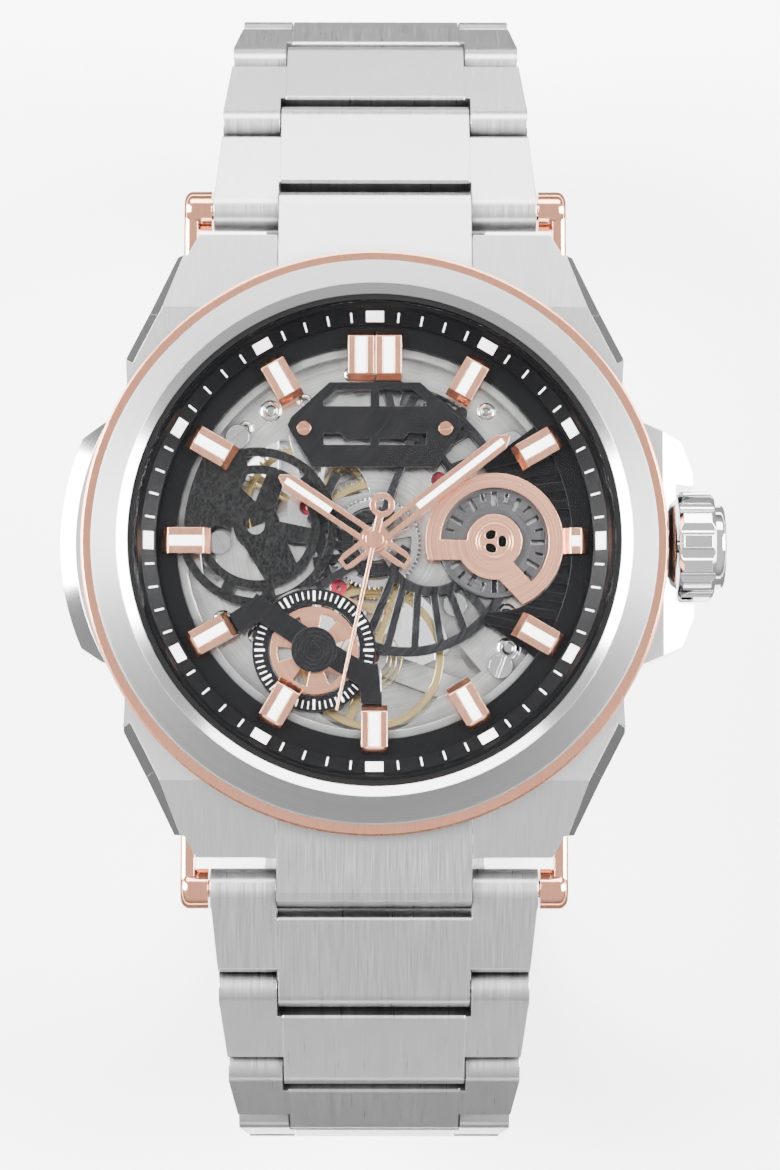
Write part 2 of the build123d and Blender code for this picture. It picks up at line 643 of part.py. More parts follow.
def seconds_hand():
    low, high = SECONDS_HAND_Z, SECONDS_HAND_Z + HAND_T
    side = [(0.08, SECONDS_LENGTH), (0.13, 0), (0.24, -0.2), (0.24, -1.7)]
    hand = slab(side + [(-x, y) for x, y in reversed(side)], low, high)
    hand += disc(0.62, low, high) + ring(0.85, 0.45, low, high, 0, -2.4)
    return Rot(0, 0, -SECONDS_ANGLE) * hand


# ---------------------------------------------------------------- movement plates
def main_plate():
    low, high = PLATE_BOTTOM, PLATE_TOP
    rim_in = MOVEMENT_R - 0.55
    plate = disc(MOVEMENT_R, low, high)
    plate -= disc(BALANCE_R + 0.35, low - 1, high + 1, *BALANCE_AT)
    tx, ty = THIRD_AT
    for cut in (
        sector(5.1, 1.4, 250, 345, low - 1, high + 1, tx, ty), sector(4.4, 1.3, 20, 75, low - 1, high + 1, tx, ty),
        sector(11.2, 8.6, 10, 32, low - 1, high + 1), sector(11.4, 8.9, 140, 160, low - 1, high + 1),
        sector(11.9, 10.9, 256, 282, low - 1, high + 1),
    ):
        plate -= cut
    for clock, radius, size in (
        (322, 11.6, 0.75), (334, 10.9, 0.5), (312, 11.9, 0.5), (243, 11.6, 0.7), (232, 10.2, 0.6),
        (128, 11.6, 0.8), (118, 10.2, 0.7), (352, 11.8, 0.5), (40, 11.9, 0.6), (150, 12.2, 0.4),
    ):
        plate -= disc(size, high - 0.4, high + 1, *polar(radius, clock))
    plate += ring(MOVEMENT_R, rim_in, low, CASE_TOP)
    plate += rib(BALANCE_AT[0], -rim_in, *BALANCE_AT, 1.3, low, high) + disc(1.1, low, high, *BALANCE_AT)
    plate &= disc(MOVEMENT_R, low, CASE_TOP)
    for x, y in (THIRD_AT, ESCAPE_AT, BARREL_AT, BALANCE_AT):
        plate -= disc(JEWEL_R, low - 1, high + 1, x, y)
    for x, y in PLATE_SCREWS:
        plate -= disc(0.4, low - 1, high + 1, x, y)
    for x, y in NAME_SCREWS:
        plate -= disc(0.25, low - 1, high + 1, x, y)
    plate -= disc(0.3 + PIVOT_FIT, high - 0.45, high + 1, *DAY_AT)
    return plate - disc(PIPE_R + PIPE_FIT, low - 1, high + 1)


def movement_bridges():
    """Train bridge on three pillars, with the rotor's post, and the bridge of the balance."""
    low, high = BRIDGE_BOTTOM, BRIDGE_TOP
    body = disc(MOVEMENT_R - 0.9, low, high)
    body -= disc(BALANCE_R + 0.65, low - 1, high + 1, *BALANCE_AT)
    body -= box(-20, 20, -20, -6.3, low - 1, high + 1)
    body += rib(*ESCAPE_AT, *PALLET_AT, 1.2, low, high)
    for cut in (sector(11.5, 7.6, 62, 90, low - 1, high + 1), sector(11.0, 6.8, 300, 340, low - 1, high + 1)):
        body -= cut
    for x, y in (THIRD_AT, ESCAPE_AT, BARREL_AT, (0, 0)):
        body -= disc(JEWEL_R, low - 1, high + 1, x, y)
    body -= disc(0.1 + PIVOT_FIT, low - 1, high + 1, *PALLET_AT)
    for x, y in PILLARS:
        body += disc(PILLAR_R, high - 0.1, PLATE_BOTTOM, x, y)
    body += ring(ROTOR_POST_R, JEWEL_R - 0.05, ROTOR_LOW, low)
    bx, by = BALANCE_AT
    feet = [(-6.7, -9.9), (6.3, -10.1)]
    cock = joined([rib(bx, by, x, y, 1.7, low, high) for x, y in feet]) + disc(1.2, low, high, bx, by)
    for x, y in feet:
        cock += disc(PILLAR_R, low, PLATE_BOTTOM, x, y)
    return body, cock - disc(JEWEL_R, low - 1, high + 1, bx, by)


def jewels():
    """Ruby bearings in the main plate and in the bridges."""
    stones = []
    for x, y in (THIRD_AT, ESCAPE_AT, BARREL_AT, BALANCE_AT):
        for low in (PLATE_BOTTOM, BRIDGE_TOP - JEWEL_T):
            stones.append(ring(JEWEL_R, PIVOT_R + PIVOT_FIT, low, low + JEWEL_T, x, y))
    stones.append(ring(JEWEL_R, PIVOT_R + PIVOT_FIT, BRIDGE_TOP - JEWEL_T, BRIDGE_TOP))
    return stones


def movement_screws():
    name = [screw(x, y, 5.7, NAME_LOW + NAME_T + 0.2, 0.47, 0.2, 0.25, 80) for x, y in NAME_SCREWS]
    plate = [screw(x, y, 5.7, PLATE_TOP + 0.3, 0.8, 0.3, 0.4, 50 * i) for i, (x, y) in enumerate(PLATE_SCREWS)]
    return name + plate


# ---------------------------------------------------------------- wheels
def gear(teeth, pitch_r, low, high, bore=0.0, turn=0.0, spokes=0, hub=0.9, rim=0.45):
    """A wheel with pointed teeth; with no spokes it is a plain disc."""
    module = 2 * pitch_r / teeth
    tip, root = pitch_r + 0.9 * module, pitch_r - 1.15 * module
    points = []
    for i in range(teeth):
        for radius, share in ((root, -0.31), (tip, -0.11), (tip, 0.11), (root, 0.31)):
            points.append(polar(radius, turn + 360 / teeth * (i + share)))
    wheel = slab(points, low, high)
    for i in range(spokes):
        half = 180 / spokes - degrees(asin(0.3 / (root - rim)))
        middle = turn + 360 / spokes * (i + 0.5)
        wheel -= sector(root - rim, hub, middle - half, middle + half, low - 1, high + 1)
    return wheel - disc(bore, low - 1, high + 1) if bore else wheel


def mesh_turn(place, teeth, other_teeth):
    """The turn that puts a wheel at this place in mesh with an unturned one at the centre."""
    line = degrees(atan2(*place))
    phase = line * other_teeth / 360
    return line + 180 + (phase - round(phase) + 0.5) * 360 / teeth


def share(place, wheel_teeth, pinion_leaves):
    """Pitch radii of a wheel and of its pinion at the distance between the centre and this place."""
    distance = hypot(*place)
    wheel_r = distance * wheel_teeth / (wheel_teeth + pinion_leaves)
    return wheel_r, distance - wheel_r


CENTRE_R, THIRD_PINION_R = share(THIRD_AT, CENTRE_TEETH, THIRD_LEAVES)
THIRD_R, FOURTH_PINION_R = share(THIRD_AT, THIRD_TEETH, FOURTH_LEAVES)
FOURTH_R, ESCAPE_PINION_R = share(ESCAPE_AT, FOURTH_TEETH, ESCAPE_LEAVES)
BARREL_PITCH_R, CENTRE_PINION_R = share(BARREL_AT, BARREL_TEETH, CENTRE_LEAVES)

# levels of the wheels
FOURTH_Z = 3.85
THIRD_Z = 4.27
BARREL_Z = 4.7
CENTRE_Z = 5.1
ESCAPE_Z = 3.5
BALANCE_Z = 4.4
ROTOR_LOW, ROTOR_HIGH = 1.6, 2.3
ROTOR_POST_R = 1.05


def arbor(radius, low, high):
    """A staff with a pivot at each end, from the bridge's jewel to the plate's jewel."""
    return disc(radius, low, high) + disc(PIVOT_R, BRIDGE_TOP - JEWEL_T, PLATE_BOTTOM + JEWEL_T)


def centre_wheel():
    wheel = gear(CENTRE_TEETH, CENTRE_R, CENTRE_Z, CENTRE_Z + 0.2, spokes=5, hub=1.0)
    wheel += gear(CENTRE_LEAVES, CENTRE_PINION_R, BARREL_Z - 0.08, CENTRE_Z)
    wheel += disc(PIPE_R, CENTRE_Z + 0.1, MINUTE_HAND_Z)
    return wheel - disc(STAFF_R + STAFF_FIT, 4, 10)


def fourth_wheel():
    wheel = gear(FOURTH_TEETH, FOURTH_R, FOURTH_Z, FOURTH_Z + 0.15, spokes=4)
    wheel += gear(FOURTH_LEAVES, FOURTH_PINION_R, FOURTH_Z + 0.1, BARREL_Z - 0.15)
    return wheel + disc(STAFF_R, BRIDGE_TOP + 0.05, SECONDS_HAND_Z) + disc(PIVOT_R, BRIDGE_TOP - JEWEL_T, 4)


def third_wheel():
    wheel = gear(THIRD_TEETH, THIRD_R, THIRD_Z, THIRD_Z + 0.18, 0,
                 mesh_turn(THIRD_AT, THIRD_TEETH, FOURTH_LEAVES), spokes=4)
    wheel += gear(THIRD_LEAVES, THIRD_PINION_R, CENTRE_Z - 0.12, CENTRE_Z + 0.3, 0,
                  mesh_turn(THIRD_AT, THIRD_LEAVES, CENTRE_TEETH))
    return Pos(*THIRD_AT, 0) * (wheel + arbor(0.3, 3.5, 5.5))


def escape_wheel():
    """Fifteen hooked teeth on four spokes, and its pinion."""
    low, high = ESCAPE_Z, ESCAPE_Z + 0.12
    points = []
    for i in range(15):
        points += [polar(1.35, 24 * i), polar(1.75, 24 * i + 9), polar(1.75, 24 * i + 13), polar(1.35, 24 * i + 15)]
    wheel = slab(points, low, high)
    for i in range(4):
        wheel -= sector(1.05, 0.5, 90 * i + 15, 90 * i + 75, low - 1, high + 1)
    wheel += gear(ESCAPE_LEAVES, ESCAPE_PINION_R, high, FOURTH_Z + 0.25, 0,
                  mesh_turn(ESCAPE_AT, ESCAPE_LEAVES, FOURTH_TEETH))
    staff = disc(0.16, low - 0.05, CENTRE_Z - 0.15) + disc(PIVOT_R, BRIDGE_TOP - JEWEL_T, low)
    return Pos(*ESCAPE_AT, 0) * (wheel + staff)


def pallet_fork():
    """Lever with two arms at the escape wheel and a fork at the balance."""
    low, high = ESCAPE_Z, ESCAPE_Z + 0.12
    towards = degrees(atan2(BALANCE_AT[0] - PALLET_AT[0], BALANCE_AT[1] - PALLET_AT[1]))
    fork = [(0.3, 1.9), (0.38, 2.3), (0.14, 2.3), (0.08, 2.05)]
    lever = rib(0, 0, 0, 1.9, 0.2, low, high)
    lever += slab(fork + [(-x, y) for x, y in reversed(fork)], low, high)
    for side in (1, -1):
        lever += rib(0, 0, side * 1.05, -0.3, 0.2, low, high) + rib(side * 1.05, -0.3, side * 1.12, -0.5, 0.2, low, high)
    lever += disc(0.25, low - 0.1, high + 0.1) + disc(0.1, BRIDGE_BOTTOM + 0.1, high)
    return Pos(*PALLET_AT, 0) * Rot(0, 0, -towards) * lever


def hairspring():
    """Flat spiral from the collet outwards."""
    turns, start_r, growth, wire, steps = 5, 0.5, 0.36, 0.05, 16
    radii = [start_r + growth * i / steps for i in range(steps * turns + 1)]
    outer = [polar(r + wire, 360 / steps * i) for i, r in enumerate(radii)]
    inner = [polar(r - wire, 360 / steps * i) for i, r in enumerate(radii)]
    edge = [Spline(*outer), Line(outer[-1], inner[-1]), Spline(*inner), Line(inner[0], outer[0])]
    return Pos(0, 0, BALANCE_Z - 0.4) * extrude(make_face(edge), amount=0.15)


def balance_wheel():
    """Rim on two arms with its staff, and the hairspring under it."""
    low, high = BALANCE_Z, BALANCE_Z + 0.4
    wheel = ring(BALANCE_R, BALANCE_R - 0.5, low, high)
    wheel += rib(0, 0.3 - BALANCE_R, 0, BALANCE_R - 0.3, 0.55, low + 0.1, high - 0.1)
    wheel += disc(0.75, low, high) + arbor(0.26, 3.55, 5.3) + disc(0.42, low - 0.45, low - 0.2)
    return Pos(*BALANCE_AT, 0) * Rot(0, 0, -20) * wheel, Pos(*BALANCE_AT, 0) * hairspring()


def mainspring_barrel():
    drum = gear(BARREL_TEETH, BARREL_PITCH_R, BARREL_Z, BARREL_Z + 0.25, 0,
                mesh_turn(BARREL_AT, BARREL_TEETH, CENTRE_LEAVES))
    drum += disc(BARREL_PITCH_R - 1.35, 4.1, BARREL_Z + 0.3)
    drum -= ring(BARREL_PITCH_R - 1.8, 1.2, BARREL_Z + 0.2, 6)
    return Pos(*BARREL_AT, 0) * (drum + arbor(0.5, 3.5, 5.5))


def hour_wheel():
    wheel = gear(60, 3.1, 6.65, 6.85, spokes=5, hub=1.2)
    return wheel + disc(HOUR_PIPE_R, 6.6, HOUR_HAND_Z) - disc(PIPE_R + PIPE_FIT, 6, 10)


def rotor():
    """Winding weight: a half ring of heavy metal on a pierced web, with its ball race."""
    low, high = ROTOR_LOW, ROTOR_HIGH
    web = sector(9.6, 1.6, 96, 264, high - 0.3, high)
    for start, end in ((108, 172), (188, 252)):
        web -= sector(8.7, 4.2, start, end, low - 1, high + 1)
    hub = ring(2.4, ROTOR_POST_R + 0.05, low + 0.1, high)
    return sector(12.3, 9.4, 92, 268, low, high) + web + hub


# ---------------------------------------------------------------- bracelet
def chain():
    """Hinge points (y, z) and slopes in degrees below the horizontal, for one side of the loop."""
    y, z, slope = BAR_Y, BAR_Z, 0
    joints, slopes = [(y, z)], []
    for bend in BENDS:
        slope += bend
        y += PITCH * cos(radians(slope))
        z -= PITCH * sin(radians(slope))
        joints.append((y, z))
        slopes.append(slope)
    return joints, slopes


def outer_half(number):
    """Half the width of the bracelet at the near hinge of a link; link 1 is at the case."""
    return max(LINK_HALF_MIN, LINK_HALF - LINK_TAPER * (number - 1))


def centre_half(number):
    """Half the width of a link's centre block; 0 is the end block at the case."""
    return max(CENTRE_HALF_MIN, CENTRE_HALF - CENTRE_TAPER * max(0, number - 1))


def centre_block(half, start, lip):
    """Centre block: its lip covers the crossbar, its far end is rounded about the next hinge."""
    profile = [
        (start, -HALF_T), (PITCH, -HALF_T), (PITCH, HALF_T), (lip + 0.15, HALF_T), (lip, HALF_T - 0.15),
        (lip, 0), (start, 0),
    ]
    block = side_slab(profile, -half, half)
    nose = rod_x(HALF_T, -half, half, PITCH, 0) & box(-half, half, PITCH - 0.1, PITCH + KNUCKLE, -9, 9)
    return block + nose


def link(number):
    """One link in its own frame: near hinge at the origin, next hinge one pitch along +Y."""
    near, far = outer_half(number), outer_half(number + 1)
    reach = KNUCKLE + LINK_GAP
    web_end = reach + WEB
    arm_end = PITCH - reach
    pin_r = BAR_PIN_R if number == 1 else PIN_R
    wide = 2 * LINK_HALF
    frame = slab([(-near, 0), (near, 0), (far, arm_end), (-far, arm_end)], -HALF_T, HALF_T)
    frame += rod_x(HALF_T, -near, near, 0, 0)
    for way in (1, -1):
        bevel = [(arm_end - END_BEVEL, way * HALF_T), (arm_end, way * (HALF_T - END_BEVEL)),
                 (arm_end + 1, way * (HALF_T - END_BEVEL)), (arm_end + 1, way * 9), (arm_end - END_BEVEL, way * 9)]
        frame -= side_slab(bevel, -wide, wide)
    before = centre_half(number - 1) + SIDE_FIT
    own = centre_half(number)
    frame -= box(-before, before, -9, reach, -9, 9)
    frame -= box(-own, own, web_end, 19, -9, 9) + box(-own, own, reach, 19, 0, 9)
    frame -= rod_x(pin_r + (PIN_FIT if number == 1 else 0), -wide, wide, 0, 0)
    lock_y, lock_half = web_end + 1.1, far - 1.2
    lock = rod_x(PIN_R, -lock_half, lock_half, lock_y, 0)
    hinge_bore = PIN_R + PIN_FIT
    block = centre_block(own, web_end, reach) - lock - rod_x(hinge_bore, -wide, wide, PITCH, 0)
    solids = [frame - lock, block, lock]
    if number > 1:
        solids.append(rod_x(PIN_R, 1.2 - near, near - 1.2, 0, 0))
    return solids


def placed(shape, point, slope):
    """Sets a shape from a link's frame at a hinge of the loop, on the side of 12 o'clock."""
    return Pos(0, *point) * Rot(-slope, 0, 0) * shape


def save_bracelet():
    joints, slopes = chain()
    for index, slope in enumerate(slopes):
        upper = [placed(solid, joints[index], slope) for solid in link(index + 1)]
        lower = [mirror(solid, about=Plane.XZ) for solid in upper]
        if index == len(slopes) - 1:
            joint = placed(spring_bar(), joints[index], slope)
            lower.append(mirror(joint, about=Plane.XZ))
        save(f"upper_link_{index + 1}", *upper)
        save(f"lower_link_{index + 1}", *lower)


def spring_bar():
    """Spring bar of the last hinge, drawn in so that the loop can open there."""
    half = centre_half(len(BENDS)) - 0.1
    return rod_x(PIN_R, -half, half, PITCH, 0)


def end_blocks():
    """Blocks between the lugs, each bored for its lug bar."""
    start = SHOULDER_Y + 1.3
    profile = [
        (start, BAR_Z - 1.0), (BAR_Y - 0.6, BAR_Z - HALF_T), (BAR_Y + 0.3, BAR_Z - HALF_T),
        (BAR_Y + 1.1, BAR_Z - 0.85), (BAR_Y + 1.35, BAR_Z), (BAR_Y + 1.2, BAR_Z + 0.85),
        (BAR_Y + 0.85, BAR_Z + 1.6), (BAR_Y + 0.3, BAR_Z + 1.85), (start + 1.2, CASE_TOP - 0.3),
        (start, CASE_TOP - 0.4),
    ]
    half = LUG_SLOT_X - 0.1
    return both_ways(side_slab(profile, -half, half) - rod_x(BAR_PIN_R, -20, 20, BAR_Y, BAR_Z))


def lug_bars():
    """Gold-coloured stirrups: a shaft through the first link, a round head and an arm at each end."""
    arm_x, arm_y = LUG_TIP_X + 0.2, LUG_STEP_Y
    bar = rod_x(BAR_PIN_R, -BAR_HALF + 1, BAR_HALF - 1, BAR_Y, BAR_Z)
    head_x = LINK_HALF + 0.12
    for side in (1, -1):
        x0, x1 = sorted((side * head_x, side * BAR_HALF))
        head = rod_x(BAR_HEAD_R, x0, x1, BAR_Y, BAR_Z)
        outer = head.edges().filter_by(GeomType.CIRCLE).sort_by(Axis.X)[-1 if side == 1 else 0]
        head = fillet(outer, 0.6)
        a0, a1 = sorted((side * arm_x, side * BAR_HALF))
        arm = box(a0, a1, arm_y, BAR_Y, BAR_Z - 1.1, BAR_Z + 1.1)
        long_edges = [e for e in arm.edges().filter_by(Axis.Y) if abs(e.center().X) > abs(side * arm_x) + 0.1]
        bar += head + fillet(long_edges, 0.4)
    return both_ways(bar)


# ---------------------------------------------------------------- clasp
# Modelled in a link's frame: +Y runs along the clasp from the upper bracelet, +Z away from the wrist.
INNER_LOW = -HALF_T
MIDDLE_LOW = INNER_LOW + INNER_LEAF_T + 0.6
FAR_PIN_Z = INNER_LOW + 0.9
NEAR_PIN_Z = MIDDLE_LOW + 0.45
FORK_T = 1.2             # half the thickness of the hinge ends
FORK_HALF = LINK_HALF_MIN


def clasp_length():
    joints, _ = chain()
    return 2 * joints[-1][0]


def hinge_pin(y, z, half):
    return rod_x(FOLD_PIN_R, -half, half, y, z)


def ears(y, z, root_y, root_z):
    """Two ears with a pin hole; each reaches from its barrel back to its root."""
    pieces = []
    for side in (1, -1):
        x0, x1 = sorted((side * EAR_INNER, side * (LEAF_HALF - 0.6)))
        web = box(x0, x1, *sorted((y, root_y)), *sorted((z, root_z)))
        pieces.append(rod_x(BARREL_R, x0, x1, y, z) + web)
    return joined(pieces) - hinge_pin(y, z, LEAF_HALF)


def clasp_inner_leaf():
    """Leaf against the wrist, hinged to the upper bracelet by its fork."""
    far = clasp_length() - FOLD_FAR
    web = KNUCKLE + LINK_GAP
    fork = box(-FORK_HALF, FORK_HALF, 0, web + 1.2, -FORK_T, FORK_T) + rod_x(FORK_T, -FORK_HALF, FORK_HALF, 0, 0)
    fork -= box(-FORK_X, FORK_X, -9, web, -9, 9) + rod_x(PIN_R, -20, 20, 0, 0)
    leaf = box(-LEAF_HALF, LEAF_HALF, web, far - 1.2, INNER_LOW + 0.2, INNER_LOW + INNER_LEAF_T)
    leaf += ears(far, FAR_PIN_Z, far - 2, INNER_LOW + 0.25)
    pin = rod_x(PIN_R, 1.0 - FORK_HALF, FORK_HALF - 1.0, 0, 0)
    return fork + leaf, pin, hinge_pin(far, FAR_PIN_Z, LEAF_HALF - 0.6)


def clasp_middle_leaf():
    """Leaf that folds between the inner leaf and the cover."""
    far, near = clasp_length() - FOLD_FAR, FOLD_NEAR
    barrel = EAR_INNER - 0.1
    top = MIDDLE_LOW + MIDDLE_LEAF_T
    leaf = box(-LEAF_HALF + 0.4, LEAF_HALF - 0.4, near + 1.2, far - 1.2, MIDDLE_LOW, top)
    leaf += box(-barrel, barrel, near, near + 1.5, MIDDLE_LOW, top) + rod_x(BARREL_R, -barrel, barrel, near, NEAR_PIN_Z)
    leaf += box(-barrel, barrel, far - 1.5, far, FAR_PIN_Z, top) + rod_x(BARREL_R, -barrel, barrel, far, FAR_PIN_Z)
    for y, z in ((near, NEAR_PIN_Z), (far, FAR_PIN_Z)):
        leaf -= rod_x(FOLD_PIN_R + PIN_FIT, -20, 20, y, z)
    for i in range(3):
        middle = near + (far - near) * (i + 1) / 4
        leaf -= extrude(Pos(0, middle, MIDDLE_LOW - 1) * SlotOverall(6, 2.2, rotation=90), amount=3)
    return leaf


def clasp_cover():
    """Outer shell with side walls, and the fork that meets the lower bracelet."""
    length, wall, half = clasp_length(), 1.0, FORK_HALF
    end = length - KNUCKLE - LINK_GAP
    shell = box(-half, half, COVER_START, end, COVER_WALL_LOW, COVER_TOP)
    shell = chamfer([edge for edge in shell.edges() if edge.center().Z > COVER_TOP - 0.01], 0.5)
    shell += box(-half, half, end - 1, length, -FORK_T, FORK_T) + rod_x(FORK_T, -half, half, length, 0)
    shell -= box(wall - half, half - wall, COVER_START - 1, end - 1.2, -9, COVER_TOP - COVER_T)
    shell -= box(-FORK_X, FORK_X, end, length + 9, -9, 9)
    shell -= rod_x(PIN_R, 1.0 - half, half - 1.0, length, 0)
    cover = shell + ears(FOLD_NEAR, NEAR_PIN_Z, FOLD_NEAR + 0.8, COVER_TOP - COVER_T + 0.1)
    cover -= rod_x(BUTTON_R + PIPE_FIT, -20, 20, BUTTON_AT, BUTTON_Z)
    return cover, hinge_pin(FOLD_NEAR, NEAR_PIN_Z, LEAF_HALF - 0.6)


def clasp_button(side):
    """Push-button in a side wall of the cover, with a thin stem behind its head."""
    head = sorted((side * (FORK_HALF - 0.9), side * (FORK_HALF + 0.55)))
    stem = sorted((side * (FORK_HALF - 1.9), side * (FORK_HALF - 0.9)))
    return rod_x(BUTTON_R, *head, BUTTON_AT, BUTTON_Z) + rod_x(BUTTON_R / 2, *stem, BUTTON_AT, BUTTON_Z)


def save_clasp():
    joints, _ = chain()

    def place(*shapes):
        return [placed(shape, joints[-1], 180) for shape in shapes]

    save("clasp_inner_leaf", *place(*clasp_inner_leaf()))
    save("clasp_middle_leaf", *place(clasp_middle_leaf()))
    save("clasp_cover", *place(*clasp_cover()))
    save("clasp_button_right", *place(clasp_button(1)))
    save("clasp_button_left", *place(clasp_button(-1)))


# ---------------------------------------------------------------- write every node
save("case_middle", case_middle())
save("bezel", bezel())
save("bezel_ring", bezel_ring())
save("crystal", crystal())
save("gaskets", *gaskets())
save("case_back", case_back())
save("back_window", disc(WINDOW_R, 0, WINDOW_T))
save("back_screws", *back_screws())
save("movement_holder", movement_holder())
save("crown", *crown())
save("winding_pinion", winding_pinion())
save("lug_bars", *lug_bars())
save("end_blocks", *end_blocks())
save("dial_ring", dial_ring())
save("minute_ring", minute_ring())
save("hour_markers", *hour_markers())
save("name_plate", name_plate())
save("movement_screws", *movement_screws())
save("grained_bridge", grained_bridge())
save("fan_bridge", fan_bridge())
save("counter_bridge", counter_bridge())
save("day_cover", day_cover())
save("day_disc", day_disc())
save("running_wheel", running_wheel())
save("hour_hand", baton_hand(HOUR_LENGTH, HOUR_HAND_Z, HOUR_ANGLE, PIPE_R + PIPE_FIT))
save("minute_hand", baton_hand(MINUTE_LENGTH, MINUTE_HAND_Z, MINUTE_ANGLE, STAFF_R + STAFF_FIT))
save("seconds_hand", seconds_hand())
save("main_plate", main_plate())
save("movement_bridges", *movement_bridges())
save("jewels", *jewels())
save("hour_wheel", hour_wheel())
save("centre_wheel", centre_wheel())
save("third_wheel", third_wheel())
save("fourth_wheel", fourth_wheel())
save("escape_wheel", escape_wheel())
save("pallet_fork", pallet_fork())
save("balance_wheel", *balance_wheel())
save("mainspring_barrel", mainspring_barrel())
save("rotor", rotor())
save_bracelet()
save_clasp()
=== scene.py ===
import bpy
from math import atan2, cos, radians, sin
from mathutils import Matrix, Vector


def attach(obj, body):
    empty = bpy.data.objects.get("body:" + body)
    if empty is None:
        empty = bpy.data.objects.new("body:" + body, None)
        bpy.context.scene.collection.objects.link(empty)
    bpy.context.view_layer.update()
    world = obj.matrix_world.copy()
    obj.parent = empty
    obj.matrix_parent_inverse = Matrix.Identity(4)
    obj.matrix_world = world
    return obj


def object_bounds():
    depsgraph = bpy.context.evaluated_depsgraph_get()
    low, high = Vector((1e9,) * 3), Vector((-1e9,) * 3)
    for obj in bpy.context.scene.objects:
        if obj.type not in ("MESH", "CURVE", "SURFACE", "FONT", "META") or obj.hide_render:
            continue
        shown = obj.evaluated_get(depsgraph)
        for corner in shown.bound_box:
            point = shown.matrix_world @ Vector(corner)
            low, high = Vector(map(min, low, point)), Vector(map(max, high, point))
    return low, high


# Skeleton wristwatch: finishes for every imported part, printed marks and white inlays,
# and a plain studio. Metres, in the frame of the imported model: +Z out of the dial,
# +Y towards 12 o'clock.
MM = 0.001

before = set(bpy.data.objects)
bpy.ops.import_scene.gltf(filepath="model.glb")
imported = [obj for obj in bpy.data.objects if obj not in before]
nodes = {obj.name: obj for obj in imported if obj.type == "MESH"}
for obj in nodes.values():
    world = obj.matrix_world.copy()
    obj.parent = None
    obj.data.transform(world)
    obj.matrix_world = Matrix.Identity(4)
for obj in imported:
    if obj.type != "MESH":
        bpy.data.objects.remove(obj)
cad_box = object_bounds()

# ---------------------------------------------------------------- camera
CAMERA_PLACE = (0.000336, -0.025248, 0.252137)
CAMERA_TURN = (0.091, -0.003, 0.001)
CAMERA_LENS = 74.06
SENSOR_HEIGHT = 24.0

bpy.ops.object.camera_add(location=CAMERA_PLACE, rotation=CAMERA_TURN)
camera = bpy.context.object
camera.name = "studio_camera"
camera.data.sensor_fit = "VERTICAL"
camera.data.sensor_height = SENSOR_HEIGHT
camera.data.lens = CAMERA_LENS
camera.data.clip_start = 0.01
bpy.context.scene.camera = camera

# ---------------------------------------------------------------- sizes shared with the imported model
DAY_CENTRE = (8.15, 0.0)         # millimetres, as are all sizes down to the pieces
COUNTER_CENTRE = (-4.1, -7.4)
BALANCE_CENTRE = (-0.2, -7.7)
BARREL_CENTRE = (4.4, 4.4)
TRACK_IN_R, TRACK_OUT_R = 14.85, 15.83
TRACK_IN_Z, TRACK_OUT_Z = 8.45, 9.1
MARKER_IN_R, MARKER_OUT_R, MARKER_BEVEL = 11.15, 14.45, 0.45
MARKER_TOP, GROOVE_W, GROOVE_DEPTH = 8.8, 0.76, 0.15
TWELVE_SHIFT = 0.935
THREE_IN_R = 12.83
COUNTER_TOP = 7.9
HOUR_ANGLE, MINUTE_ANGLE = 304.2, 52.0
HOUR_HAND_Z, MINUTE_HAND_Z = 8.6, 8.95
HAND_T, HAND_SLOT = 0.16, 0.42
NAME_SCREW = (4.83, 7.7)

ROSE = (1.0, 0.46, 0.3)
ROSE_PALE = (1.0, 0.49, 0.32)


